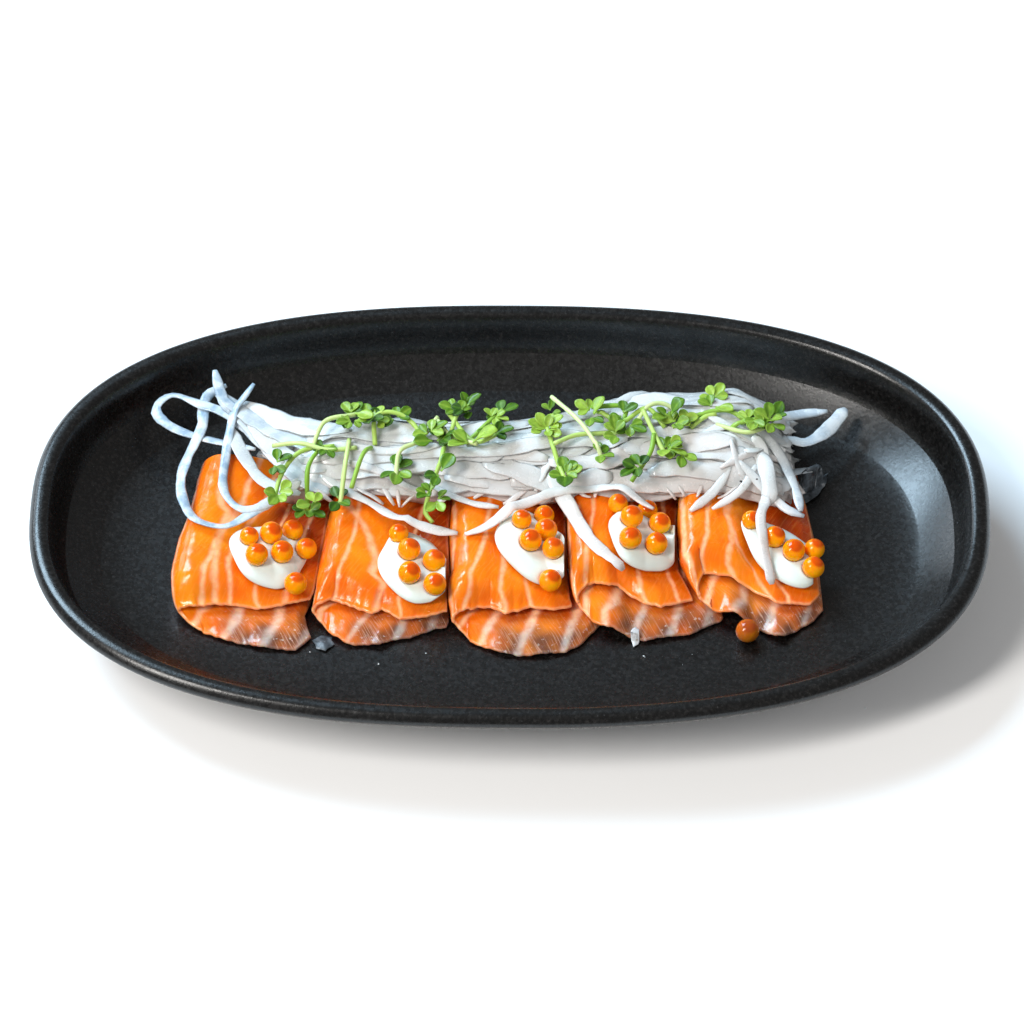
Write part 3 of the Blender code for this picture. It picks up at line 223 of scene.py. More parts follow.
# Stripes of fat: points of (y, distance along the sheet from the top of the fold), width, strength.
STRIPES = [
    [
        ([(-26, -7.2), (-12, -4.8), (4, -5.4), (20, -5.6)], 0.55, 0.75),
        ([(-28, 1.6), (-21, 1.9), (-14.6, 3.7), (-3.3, 5.8), (12, 8.4), (25, 9.5)], 0.75, 0.9),
        ([(-28, 9.0), (-20, 9.7), (-12.8, 9.0), (-2, 10.5), (12, 14), (25, 15)], 0.7, 0.8),
        ([(-25, 16.9), (-20, 16.3), (-6, 18), (12, 21), (25, 22)], 0.5, 0.7),
        ([(-28, 24), (0, 27), (25, 29)], 0.7, 0.7),
        ([(3, 5.4), (5.7, 3.1), (17.4, 1.1), (25, 0.6)], 1.0, 0.8),
        ([(-31.3, -10.9), (-22.2, -19.3), (25, -25)], 1.2, 1.0),
        ([(-35.2, -20.2), (-22.1, -28.1), (25, -34)], 1.3, 1.0),
        ([(-36.6, -31.2), (-25.6, -37.7), (25, -44)], 1.5, 1.0),
        ([(-36.6, -41), (-25.6, -46), (25, -52)], 1.0, 0.7),
    ],
    [
        ([(-18, -6.3), (10, -6.3), (25, -6.3)], 0.8, 0.95),
        ([(-24, 0.4), (-18.6, 0.9), (-12.7, 1.6), (-2.8, 2.8), (25, 3.5)], 0.55, 0.8),
        ([(-29, 13.4), (-19.5, 12.8), (-16.8, 9.4), (-12.1, 10.1), (-0.5, 4.9), (6.7, -0.1),
          (25, -1)], 1.0, 0.8),
        ([(-28.4, 19.8), (-23.4, 18.4), (0, 19), (25, 21)], 0.55, 0.65),
        ([(-24.4, -9.9), (-16.6, -17.6), (25, -24)], 1.2, 1.0),
        ([(-34.4, -18.0), (-25.3, -24.2), (25, -31)], 0.9, 0.8),
        ([(-35.7, -30.3), (-30.9, -32.7), (25, -41)], 1.2, 0.9),
        ([(-33, -40), (25, -50)], 1.0, 0.8),
    ],
    [
        ([(-16, -5.5), (-0.6, -3.7), (10.4, -4.8), (25, -5)], 0.65, 0.95),
        ([(-25.3, -1.3), (-21.6, -0.2), (-15.1, 1.0), (-5.8, 3.6), (25, 6)], 0.6, 0.85),
        ([(-25, 9.6), (-21.8, 8.4), (-7.4, 8.3), (25, 10)], 0.65, 0.85),
        ([(-27, 17.2), (-19.8, 15.3), (-15.4, 13.7), (0, 12.5), (25, 16)], 0.55, 0.7),
        ([(-30.4, -10.5), (-20.0, -18.2), (25, -25)], 1.1, 1.0),
        ([(-35.7, -16.5), (-21.0, -24.2), (25, -33)], 1.25, 1.0),
        ([(-38.6, -27.3), (-22.4, -33.0), (25, -42)], 1.3, 1.0),
        ([(-38.0, -39.0), (-22.3, -43.8), (25, -52)], 1.2, 0.9),
    ],
    [
        ([(-22.1, -4.5), (-14.0, -4.2), (25, -4.4)], 0.5, 0.8),
        ([(-20, -1.0), (-17.0, -0.8), (-10.2, 0.4), (1.9, 1.9), (25, 2)], 0.6, 0.85),
        ([(-25, 15), (-15.1, 13.7), (5, 12), (25, 12)], 0.6, 0.8),
        ([(-25, 24), (-15, 22), (25, 21)], 0.6, 0.7),
        ([(-21.5, -9.8), (-10.9, -16.0), (25, -22)], 1.15, 1.0),
        ([(-26.8, -15.4), (-16.7, -20.3), (25, -28)], 1.1, 0.95),
        ([(-31.5, -22.7), (-20.9, -26.8), (25, -35)], 1.15, 0.95),
        ([(-31.9, -32.7), (-21.4, -35.5), (25, -42)], 1.15, 0.95),
        ([(-31, -42), (25, -52)], 1.0, 0.7),
    ],
    [
        ([(-17.0, -3.8), (-4.1, -2.5), (12.2, -3.4), (25, -3.6)], 0.7, 0.95),
        ([(-14.1, 0.2), (-4.4, 2.6), (5.4, 3.1), (25, 3.4)], 0.6, 0.9),
        ([(-13.0, 7.4), (-7.1, 8.8), (8.9, 8.8), (25, 9)], 0.6, 0.85),
        ([(-22, 15.6), (-13.1, 13.6), (-6.6, 9.9), (4, 8)], 0.5, 0.7),
        ([(-24, 21), (-14, 18), (0, 17), (25, 18)], 0.6, 0.8),
        ([(-21.5, -10.0), (-8.2, -18.4), (25, -24)], 1.1, 0.9),
        ([(-25.6, -17.5), (-16.7, -21.1), (25, -29)], 1.1, 0.95),
        ([(-28.7, -26.9), (-20.8, -28.4), (25, -37)], 1.15, 0.95),
        ([(-30, -36), (-20, -38), (25, -47)], 0.9, 0.6),
    ],
]

# Black seeds: place and radius.
SEEDS = [
    (62.8, 10.2, 0.42), (67.1, 10.4, 0.32), (67.7, 6.7, 0.28), (54.9, 26.2, 0.30), (44.5, 22.1, 0.26),
    (71.0, 3.0, 0.24),
]

# Broad shreds that join the loose ones to the heap at its left end, like the list of loose shreds.
LEFT_END = [
    ([(-81, 42, 17), (-73, 35, 16.5), (-64, 28, 16), (-52, 22, 17)], 5.6),
    ([(-77, 37, 16), (-71, 30, 15.5), (-65, 22, 15), (-58, 14, 14.5), (-49, 9, 13)], 4.8),
    ([(-74, 39, 16), (-65, 33, 16.5), (-55, 29, 17.5), (-44, 27, 19)], 6.0),
    ([(-77, 31, 15), (-73, 21, 14.5), (-67, 12, 14), (-57, 8, 13.5)], 4.0),
    ([(-72, 35, 16), (-67, 26, 16), (-60, 19, 15), (-50, 15, 16)], 5.0),
]

# A bent lump of radish at the heap's right end.
LUMP = [
    (64.6, 21.0, 13.0), (66.4, 19.4, 17.5), (68.6, 17.4, 18.6), (70.0, 12.6, 17.6), (70.6, 8.0, 16.0),
    (70.0, 5.6, 12.5),
]

# Which of the loose shreds end bluntly, counted from 0.
BLUNT_SHREDS = (7, 12, 14)

# Reach of the heap's hidden core: from left to right, and from front to back in parts of its half width.
HEAP_SPAN = {"x": (-62.0, 71.0), "parts": (-0.84, 0.90)}

# Families of shreds in the heap: number, lengths, widths, thickness, slant, roll and how grey they may be.
HEAP_FAMILIES = [
    (40, (44.0, 84.0), (5.5, 9.5), 0.70, 0.14, 0.10, 0.45),
    (58, (34.0, 70.0), (3.6, 6.0), 0.75, 0.34, 0.18, 0.30),
    (26, (16.0, 36.0), (2.0, 3.0), 0.80, 0.90, 0.40, 0.10),
]

# Scraps of silver skin, and a film of flesh on the fourth slice: outline and thickness.
SKIN = [
    ([(77.6, 17.0), (79.6, 20.6), (84.6, 26.4), (87.0, 28.4), (86.6, 24.8), (84.2, 19.8),
      (80.6, 16.8)], 0.4),
    ([(-52.4, -33.6), (-50.2, -31.8), (-47.6, -32.2), (-46.8, -34.8), (-49.0, -37.4), (-51.6, -36.2)], 0.8),
]
FILM = ([(33.0, -32.5), (34.4, -30.6), (35.6, -31.2), (35.0, -34.2), (33.8, -35.4)], 0.6)

# Fans of lobes that a cress leaf may have: turn to one side, length and half width as parts of the leaf's
# length.
FANS = {
    "one": [(0.0, 0.92, 0.32)],
    "two": [(-0.55, 0.82, 0.26), (0.60, 0.76, 0.25)],
    "three": [(-1.0, 0.64, 0.22), (0.0, 0.84, 0.25), (1.0, 0.62, 0.22)],
    "small": [(-0.55, 0.60, 0.22), (0.55, 0.66, 0.23)],
}


def smooth(value):
    """Ease from 0 to 1 with level ends."""
    value = min(1.0, max(0.0, value))
    return value * value * (3.0 - 2.0 * value)


def ease(values):
    """The same for an array."""
    values = np.clip(values, 0, 1)
    return values ** 2 * (3 - 2 * values)


def along(points, value):
    """Read the second number of a list of points at a given first number."""
    last = points[0]
    if value <= last[0]:
        return last[1]
    for here in points[1:]:
        if value <= here[0]:
            return last[1] + (here[1] - last[1]) * (value - last[0]) / (here[0] - last[0])
        last = here
    return last[1]


def grain(x, y, z, size):
    """Smooth noise between -1 and 1 with a given size of its lumps in millimetres."""
    return noise.noise(Vector((x / size, y / size, z / size)))


# Materials

class Look:
    """A material under construction."""

    def __init__(self, name):
        self.made = bpy.data.materials.new(name)
        self.made.use_nodes = True
        self.tree = self.made.node_tree
        self.shader = self.tree.nodes["Principled BSDF"]
        self.where = self.tree.nodes.new("ShaderNodeTexCoord")

    def set(self, **values):
        """Set inputs of the shader, with a low line for each space in their names."""
        for key, value in values.items():
            self.shader.inputs[key.replace("_", " ")].default_value = value

    def node(self, kind, **values):
        """A new node with the given settings."""
        made = self.tree.nodes.new(kind)
        for key, value in values.items():
            setattr(made, key, value)
        return made

    def link(self, a, b):
        self.tree.links.new(a, b)

    def spread(self, scale, detail=3.0, rough=0.5):
        """Noise in object space, with its scale per metre."""
        made = self.node("ShaderNodeTexNoise")
        made.inputs["Detail"].default_value = detail
        made.inputs["Roughness"].default_value = rough
        made.inputs["Scale"].default_value = scale
        self.link(self.where.outputs["Object"], made.inputs["Vector"])
        return made.outputs["Fac"]

    def cells(self, scale):
        """Distance from the middles of small cells, with their scale per metre."""
        made = self.node("ShaderNodeTexVoronoi")
        made.inputs["Scale"].default_value = scale
        self.link(self.where.outputs["Object"], made.inputs["Vector"])
        return made.outputs["Distance"]

    def grained(self, size, turn):
        """Noise drawn out along one direction of a sheet, with the size of its lumps across and along."""
        sheet_at = self.node("ShaderNodeUVMap", uv_map="sheet")
        shape = self.node("ShaderNodeMapping", vector_type="TEXTURE")
        shape.inputs["Rotation"].default_value = (0.0, 0.0, turn)
        shape.inputs["Scale"].default_value = size
        self.link(sheet_at.outputs["UV"], shape.inputs["Vector"])
        made = self.node("ShaderNodeTexNoise")
        made.inputs["Detail"].default_value = 3.0
        made.inputs["Roughness"].default_value = 0.55
        made.inputs["Scale"].default_value = 1.0
        self.link(shape.outputs["Vector"], made.inputs["Vector"])
        return made.outputs["Fac"]

    def painted(self):
        """The three amounts painted on a piece."""
        paint = self.node("ShaderNodeVertexColor", layer_name="paint")
        parts = self.node("ShaderNodeSeparateColor")
        self.link(paint.outputs["Color"], parts.inputs["Color"])
        return parts.outputs[0], parts.outputs[1], parts.outputs[2]

    def ramp(self, source, stops):
        """Colours or amounts between the given stops."""
        made = self.node("ShaderNodeValToRGB")
        bar = made.color_ramp
        while len(bar.elements) < len(stops):
            bar.elements.new(0.5)
        for element, (place, colour) in zip(bar.elements, stops):
            element.position = place
            if isinstance(colour, (int, float)):
                colour = (colour, colour, colour)
            element.color = (colour[0], colour[1], colour[2], 1.0)
        self.link(source, made.inputs["Fac"])
        return made.outputs["Color"]

    def mix(self, amount, a, b, mode="MIX"):
        """Colour a, blended with b by an amount."""
        made = self.node("ShaderNodeMix", data_type="RGBA", blend_type=mode)
        for value, key in ((amount, "Factor"), (a, "A"), (b, "B")):
            socket = [s for s in made.inputs if s.name == key and s.enabled][0]
            if isinstance(value, (int, float)):
                socket.default_value = value
            elif isinstance(value, tuple):
                socket.default_value = (value[0], value[1], value[2], 1.0)
            else:
                self.link(value, socket)
        return [s for s in made.outputs if s.enabled][0]

    def times(self, a, b):
        """The product of two amounts."""
        made = self.node("ShaderNodeMath", operation="MULTIPLY")
        for value, socket in ((a, made.inputs[0]), (b, made.inputs[1])):
            if isinstance(value, (int, float)):
                socket.default_value = value
            else:
                self.link(value, socket)
        return made.outputs[0]

    def bump(self, source, strength, distance):
        """Add relief, with its height in metres."""
        made = self.node("ShaderNodeBump")
        made.inputs["Strength"].default_value = strength
        made.inputs["Distance"].default_value = distance
        self.link(source, made.inputs["Height"])
        last = self.shader.inputs["Normal"]
        if last.is_linked:
            self.link(last.links[0].from_socket, made.inputs["Normal"])
        self.link(made.outputs["Normal"], last)

    def colour(self, source):
        self.link(source, self.shader.inputs["Base Color"])

    def rough(self, source):
        self.link(source, self.shader.inputs["Roughness"])


def stoneware():
    """Nearly black glaze with a fine mottle and paler specks in places."""
    look = Look("black_stoneware")
    mottle = look.spread(1050, 5.0, 0.75)
    clay = [(0.38, (0.0017, 0.0015, 0.0014)), (0.52, (0.0044, 0.0040, 0.0037)), (0.70, (0.022, 0.020, 0.019))]
    base = look.ramp(mottle, clay)
    dots = look.ramp(look.cells(760), [(0.0, 1.0), (0.13, 0.0)])
    where = look.ramp(look.spread(150, 2.0), [(0.48, 0.0), (0.60, 1.0)])
    speck = look.mix(1.0, dots, where, "MULTIPLY")
    look.colour(look.mix(speck, base, (0.075, 0.075, 0.078)))
    look.rough(look.ramp(look.spread(700, 4.0), [(0.3, 0.22), (0.7, 0.32)]))
    look.bump(look.spread(1300, 4.0, 0.6), 0.16, 0.0003)
    look.bump(look.spread(38, 2.0), 0.09, 0.0012)
    return look.made


def salmon():
    """Raw flesh with its fat, thin browned flap, a painted highlight on cut edges and painted shade in deep
    places.
    """
    look = Look("raw_salmon")
    fat, thin, deep = look.painted()
    oranges = [(0.32, (0.78, 0.115, 0.002)), (0.5, (0.90, 0.185, 0.003)), (0.70, (0.98, 0.27, 0.008))]
    flesh = look.ramp(look.spread(75, 3.0), oranges)
    # Painted shade: deep red where the flesh lies under a fold or behind the cream.
    flesh = look.mix(deep, flesh, (0.40, 0.045, 0.002))
    fibre = look.grained((0.55, 6.5, 1.0), -0.46)
    lines = look.ramp(fibre, [(0.50, 0.0), (0.68, 1.0)])
    flesh = look.mix(look.times(lines, 0.16), flesh, (0.98, 0.40, 0.10))
    browned = look.mix(thin, flesh, (0.16, 0.056, 0.028))
    hairs = look.ramp(look.grained((0.34, 9.0, 1.0), -0.50), [(0.53, 0.0), (0.62, 1.0)])
    browned = look.mix(look.times(look.times(hairs, thin), 0.50), browned, (0.60, 0.36, 0.26))
    ragged = look.ramp(look.spread(600, 3.0), [(0.30, 0.6), (0.55, 1.0)])
    pale = look.mix(thin, (0.97, 0.50, 0.27), (0.42, 0.36, 0.33))
    # Painted highlight: the fat's pale colour also runs along the cut edges.
    body = look.mix(look.times(fat, ragged), browned, pale)
    flecks = look.ramp(look.spread(800, 2.0), [(0.64, 0.0), (0.72, 1.0)])
    look.colour(look.mix(look.times(flecks, look.times(thin, 0.4)), body, (0.80, 0.78, 0.76)))
    look.rough(look.ramp(look.spread(420, 3.0), [(0.3, 0.12), (0.7, 0.30)]))
    look.set(IOR=1.36, Coat_Weight=0.15, Coat_Roughness=0.06)
    look.set(Subsurface_Weight=0.30, Subsurface_Scale=0.003, Subsurface_Radius=(1.0, 0.25, 0.04))
    look.bump(fibre, 0.16, 0.0003)
    look.bump(look.spread(330, 3.0), 0.26, 0.0006)
    return look.made


def cream():
    """Thick white cream with soft folds."""
    look = Look("white_cream")
    look.colour(look.ramp(look.spread(120, 2.0), [(0.3, (0.66, 0.73, 0.67)), (0.7, (0.73, 0.79, 0.75))]))
    look.set(Roughness=0.32, IOR=1.4, Coat_Weight=0.2, Coat_Roughness=0.15)
    look.set(Subsurface_Weight=0.20, Subsurface_Scale=0.002, Subsurface_Radius=(1.0, 0.9, 0.7))
    look.bump(look.spread(130, 2.0), 0.22, 0.0006)
    return look.made


def roe():
    """Clear orange, painted where light gathers, where the heart shows and where an egg is dull."""
    look = Look("orange_roe")
    lit, core, dull = look.painted()
    glow = look.mix(lit, (1.0, 0.235, 0.001), (1.0, 0.43, 0.003))
    glow = look.mix(look.times(look.spread(700, 2.0), 0.25), glow, (1.0, 0.30, 0.01))
    glow = look.mix(core, glow, (0.52, 0.04, 0.0))
    look.colour(look.mix(dull, glow, (0.24, 0.055, 0.010)))
    look.set(Roughness=0.03, Specular_IOR_Level=0.3, IOR=1.36, Coat_Weight=0.25, Coat_Roughness=0.02)
    look.set(Subsurface_Weight=0.90, Subsurface_Scale=0.004, Subsurface_Radius=(1.0, 0.45, 0.04))
    return look.made


def yolk():
    """The red heart inside an egg."""
    look = Look("roe_heart")
    look.colour(look.ramp(look.spread(900, 2.0), [(0.35, (0.80, 0.09, 0.002)), (0.65, (1.0, 0.20, 0.01))]))
    look.set(Roughness=0.4)
    return look.made


def radish():
    """Moist white, painted blue and warm in places, and grey: painted shade on the hidden core and a grey tone
    on some shreds.
    """
    look = Look("white_radish")
    blue, warm, grey = look.painted()
    whites = [(0.3, (0.64, 0.66, 0.64)), (0.55, (0.73, 0.75, 0.74)), (0.75, (0.80, 0.82, 0.83))]
    tone = look.ramp(look.spread(140, 3.0), whites)
    cold = look.ramp(look.spread(260, 3.0), [(0.38, (0.30, 0.42, 0.54)), (0.62, (0.66, 0.74, 0.80))])
    tone = look.mix(blue, tone, cold)
    tone = look.mix(warm, tone, (0.80, 0.62, 0.55))
    # Grey is painted shade on the heap's hidden core, where it shows between shreds, and a grey tone on some
    # shreds.
    tone = look.mix(grey, tone, (0.66, 0.66, 0.66))
    fibre = look.grained((0.45, 9.0, 1.0), 0.0)
    lines = look.ramp(fibre, [(0.46, 0.0), (0.68, 1.0)])
    look.colour(look.mix(look.times(lines, 0.16), tone, (0.90, 0.92, 0.94)))
    look.rough(look.ramp(look.spread(600, 2.0), [(0.3, 0.16), (0.7, 0.32)]))
    look.set(Transmission_Weight=0.12, IOR=1.34, Coat_Weight=0.30, Coat_Roughness=0.08)
    look.set(Subsurface_Weight=0.20, Subsurface_Scale=0.0012, Subsurface_Radius=(1.0, 1.0, 1.0))
    look.bump(fibre, 0.10, 0.0003)
    return look.made


def cress():
    """Green leaves and stems, painted with the leaf's tone, where it is stem and how pale that is."""
    look = Look("green_cress")
    tone, stalk, pale = look.painted()
    greens = [(0.0, (0.014, 0.050, 0.003)), (0.45, (0.090, 0.205, 0.010)), (1.0, (0.32, 0.48, 0.06))]
    blade = look.ramp(tone, greens)
    patches = look.ramp(look.spread(700, 3.0), [(0.4, 0.0), (0.7, 1.0)])
    blade = look.mix(look.times(patches, 0.30), blade, (0.015, 0.08, 0.003))
    stems = [(0.0, (0.17, 0.36, 0.025)), (0.6, (0.42, 0.60, 0.13)), (1.0, (0.62, 0.72, 0.36))]
    look.colour(look.mix(stalk, blade, look.ramp(pale, stems)))
    look.rough(look.ramp(look.spread(800, 2.0), [(0.3, 0.26), (0.7, 0.48)]))
    look.set(IOR=1.4, Subsurface_Weight=0.15, Subsurface_Scale=0.001, Subsurface_Radius=(0.5, 1.0, 0.2))
    look.bump(look.spread(900, 3.0), 0.3, 0.0002)
    return look.made


def dark_seed():
    """Black seeds."""
    look = Look("black_seed")
    grey = look.ramp(look.spread(900, 2.0), [(0.3, (0.006, 0.005, 0.004)), (0.7, (0.030, 0.026, 0.022))])
    look.colour(grey)
    look.set(Roughness=0.45)
    return look.made


def silver_skin():
    """Dark wet fish skin with silver patches."""
    look = Look("silver_skin")
    greys = [(0.35, (0.03, 0.035, 0.04)), (0.58, (0.11, 0.13, 0.15)), (0.74, (0.48, 0.50, 0.52))]
    look.colour(look.ramp(look.spread(420, 4.0, 0.6), greys))
    look.rough(look.ramp(look.spread(700, 2.0), [(0.3, 0.30), (0.7, 0.50)]))
    look.set(IOR=1.35, Transmission_Weight=0.15)
    look.bump(look.spread(600, 3.0), 0.15, 0.0003)
    return look.made


def plain_floor():
    """The white ground of the studio."""
    look = Look("studio_floor")
    look.colour(look.ramp(look.spread(3, 2.0), [(0.3, (0.90, 0.90, 0.90)), (0.7, (0.93, 0.93, 0.93))]))
    look.set(Roughness=0.9)
    return look.made


# Shapes

def solid(name, points, faces, slot, paint=None, uv=None, fix=True):
    """Make one mesh piece from points in millimetres."""
    mesh = bpy.data.meshes.new(name)
    mesh.from_pydata([(p[0] * MM, p[1] * MM, p[2] * MM) for p in points], [], faces)
    mesh.update()
    if paint is not None:
        layer = mesh.color_attributes.new("paint", "FLOAT_COLOR", "POINT")
        flat = np.ones((len(points), 4), dtype=np.float32)
        flat[:, :3] = np.asarray(paint, dtype=np.float32)
        layer.data.foreach_set("color", flat.ravel())
    if uv is not None:
        layer = mesh.uv_layers.new(name="sheet")
        corner = np.empty(len(mesh.loops), dtype=np.int32)
        mesh.loops.foreach_get("vertex_index", corner)
        layer.data.foreach_set("uv", np.asarray(uv, dtype=np.float32)[corner].ravel())
    if fix:
        shape = bmesh.new()
        shape.from_mesh(mesh)
        bmesh.ops.recalc_face_normals(shape, faces=shape.faces)
        shape.to_mesh(mesh)
        shape.free()
    mesh.materials.append(slot)
    body = bpy.data.objects.new(name, mesh)
    bpy.context.scene.collection.objects.link(body)
    mesh.shade_smooth()
    return body


def beside(here, side, width, part):
    """A place to one side of another, by a part of a width."""
    return here.x + side.x * width * part, here.y + side.y * width * part


class Layers:
    """Height of the shreds laid so far, on a grid of one millimetre."""

    corner = (-90, -20)
    size = (190, 90)

    def __init__(self, start):
        rows = [[start(self.corner[0] + float(i), self.corner[1] + float(j)) for j in range(self.size[1])]
                for i in range(self.size[0])]
        self.high = np.array(rows)

    def cell(self, place):
        """Row and column of the grid at a place, kept on the grid."""
        return tuple(min(size - 1, max(0, int(round(value - corner))))
                     for value, corner, size in zip(place, self.corner, self.size))

    def lay(self, path, width, thick):
        """Put a strip on top of the others and return its path, or nothing where the heap is high enough."""
        sides = []
        for i, here in enumerate(path):
            ahead = path[min(len(path) - 1, i + 1)] - path[max(0, i - 1)]
            side = Vector((ahead.y, -ahead.x, 0.0)).normalized()
            sides.append((side, 0.8 * slope(heap_top, here, side)))
        need = []
        for here, (side, rise) in zip(path, sides):
            tops = []
            for part in (-0.42, -0.21, 0.0, 0.21, 0.42):
                tops.append(self.high[self.cell(beside(here, side, width, part))] - rise * width * part)
            need.append(0.5 * max(tops) + 0.5 * sum(tops) / len(tops) + thick * 0.35)
        high = list(need)
        for _ in range(5):
            for i in range(1, len(high) - 1):
                mean = (high[i - 1] + high[i + 1]) / 2
                high[i] = max(need[i] - 0.25, high[i] + 0.7 * (mean - high[i]))
        over = [h - heap_top(p.x, p.y) for h, p in zip(high, path)]
        if sum(over) / len(over) > 0.9 or max(over) > 2.6:
            return None
        for here, h, (side, rise) in zip(path, high, sides):
            for part in np.linspace(-0.5, 0.5, 2 * int(width) + 3):
                place = self.cell(beside(here, side, width, part))
                self.high[place] = max(self.high[place], h + rise * width * part + thick * 0.45)
        return [Vector((p.x, p.y, h)) for p, h in zip(path, high)]


class Cluster:
    """Many small closed shapes gathered into one mesh."""

    def __init__(self):
        self.points = []
        self.faces = []
        self.paint = []
        self.uv = []

    def add(self, points, faces, paint, uv=None):
        """Take in a shape with one paint for all of it or a list of one for each point."""
        start = len(self.points)
        self.points += points
        self.faces += [tuple(start + k for k in face) for face in faces]
        self.paint += paint if isinstance(paint, list) else [paint] * len(points)
        self.uv += uv if uv is not None else [(p[0], p[1]) for p in points]

    def make(self, name, slot):
        return solid(name, self.points, self.faces, slot, self.paint, self.uv)


def sheet(top, under):
    """Close two matching grids of points into one thick sheet."""
    rows = len(top)
    columns = len(top[0])
    points = [tuple(p) for row in top for p in row] + [tuple(p) for row in under for p in row]
    half = rows * columns
    faces = []
    for i in range(rows - 1):
        for j in range(columns - 1):
            a = i * columns + j
            faces.append((a, a + 1, a + columns + 1, a + columns))
            faces.append((half + a, half + a + columns, half + a + columns + 1, half + a + 1))
    for j in range(columns - 1):
        faces.append((j, half + j, half + j + 1, j + 1))
        a = (rows - 1) * columns + j
        faces.append((a, a + 1, half + a + 1, half + a))
    for i in range(rows - 1):
        a = i * columns
        faces.append((a, a + columns, half + a + columns, half + a))
        a += columns - 1
        faces.append((a, half + a, half + a + columns, a + columns))
    return points, faces


def tube(sides, count):
    """Faces of a tube of rings, closed at both ends."""
    faces = [tuple(range(sides)), tuple(sides * (count - 1) + k for k in reversed(range(sides)))]
    for i in range(count - 1):
        a = sides * i
        for k in range(sides):
            n = (k + 1) % sides
            faces.append((a + k, a + sides + k, a + sides + n, a + n))
    return faces


def round_shape(level):
    """Points and faces of a ball with a radius of one."""
    shape = bmesh.new()
    bmesh.ops.create_icosphere(shape, subdivisions=level, radius=1.0)
    points = [v.co.copy() for v in shape.verts]
    faces = [tuple(v.index for v in f.verts) for f in shape.faces]
    shape.free()
    return points, faces


def across_path(path, i):
    """Directions to the side and up at one point of a path."""
    ahead = (path[min(len(path) - 1, i + 1)] - path[max(0, i - 1)]).normalized()
    side = ahead.cross(Vector((0, 0, 1)))
    if side.length < 0.2:
        side = ahead.cross(Vector((0, 1, 0)))
    side.normalize()
    return side, side.cross(ahead).normalized()


def slope(high, here, side):
    """How a height rises to one side of a place, kept within two to one."""
    rise = (high(here.x + side.x, here.y + side.y) - high(here.x - side.x, here.y - side.y)) / 2.0
    return max(-2.0, min(2.0, rise))


class Pile:
    """Everything laid so far, with the height of its top at any place."""

    def __init__(self):
        self.points = []
        self.faces = []
        self.tree = None

    def add(self, body):
        """Take in a mesh that lies on the pile. It counts from the next close."""
        start = len(self.points)
        mesh = body.data
        self.points += [tuple(v.co / MM) for v in mesh.vertices]
        self.faces += [tuple(start + k for k in p.vertices) for p in mesh.polygons]

    def close(self):
        self.tree = BVHTree.FromPolygons(self.points, self.faces)

    def top(self, x, y):
        hit = self.tree.ray_cast(Vector((x, y, 200.0)), Vector((0.0, 0.0, -1.0)))
        return hit[0].z if hit[0] is not None else 0.0

    def over(self, x, y, reach):
        """Highest top within a reach round a place."""
        high = self.top(x, y)
        for ring in (0.5, 1.0):
            for k in range(8):
                turn = k * math.pi / 4
                far = reach * ring
                high = max(high, self.top(x + far * math.cos(turn), y + far * math.sin(turn)))
        return high


def eased(points, per):
    """A profile through the given points with smooth turns between them."""
    pts = [np.array(p) for p in points]
    pts = [2 * pts[0] - pts[1]] + pts + [2 * pts[-1] - pts[-2]]
    fine = []
    for i in range(1, len(pts) - 2):
        p0, p1, p2, p3 = pts[i - 1:i + 3]
        t0, t1 = (p2 - p0) / 2, (p3 - p1) / 2
        span = np.linalg.norm(p2 - p1)
        t0 *= min(1.0, span / (np.linalg.norm(t0) + 1e-9))
        t1 *= min(1.0, span / (np.linalg.norm(t1) + 1e-9))
        for k in range(per):
            t = k / per
            fine.append((2 * t ** 3 - 3 * t * t + 1) * p1 + (t ** 3 - 2 * t * t + t) * t0
                        + (3 * t * t - 2 * t ** 3) * p2 + (t ** 3 - t * t) * t1)
    fine.append(pts[-2])
    return fine


def make_dish(slot):
    """The oval dish, from the middle of its foot out over the bead and in to its floor."""
    rim = DISH_HEIGHT - BEAD_RADIUS
    steps = 200
    profile = [(47.0, 2.5), (45.0, 0.0), (41.0, 0.0), (39.0, 1.6), (28.0, 5.2), (17.0, 10.4), (8.5, 15.6)]
    profile += [(2.2, 20.6), (0.0, rim + 0.2), (1.1, rim + 2.4), (3.0, DISH_HEIGHT)]
    profile += [(4.9, rim + 2.4), (6.1, rim)]
    profile += [(8.0, 17.1), (11.0, 13.1), (14.0, 11.1), (18.5, 9.6), (24.0, 8.75), (30.0, 8.3), (37.0, 8.05)]
    inner = [(inset, FLOOR) for inset in (44.0, 50.0, 56.0, 64.0, 71.0, 76.0)]
    fine = [(76.0, 2.5), (60.0, 2.5)] + [tuple(p) for p in eased(profile, 6)] + inner
    points = []
    for inset, height in fine:
        for k in range(steps):
            turn = 2.0 * math.pi * k / steps
            c, s = math.cos(turn), math.sin(turn)
            a = DISH_LENGTH / 2 - inset
            b = max(0.3, DISH_WIDTH / 2 - inset)
            x = a * math.copysign(abs(c) ** (2 / DISH_POWER), c)
            y = b * math.copysign(abs(s) ** (2 / DISH_POWER), s)
            sway = 0.12 * grain(x, y, 5.0, 40.0) * smooth((30.0 - inset) / 10.0) if height > 5.0 else 0.0
            points.append((x, y, min(DISH_HEIGHT, max(0.0, height + sway))))
    return solid("stoneware_dish", points, tube(steps, len(fine)), slot)


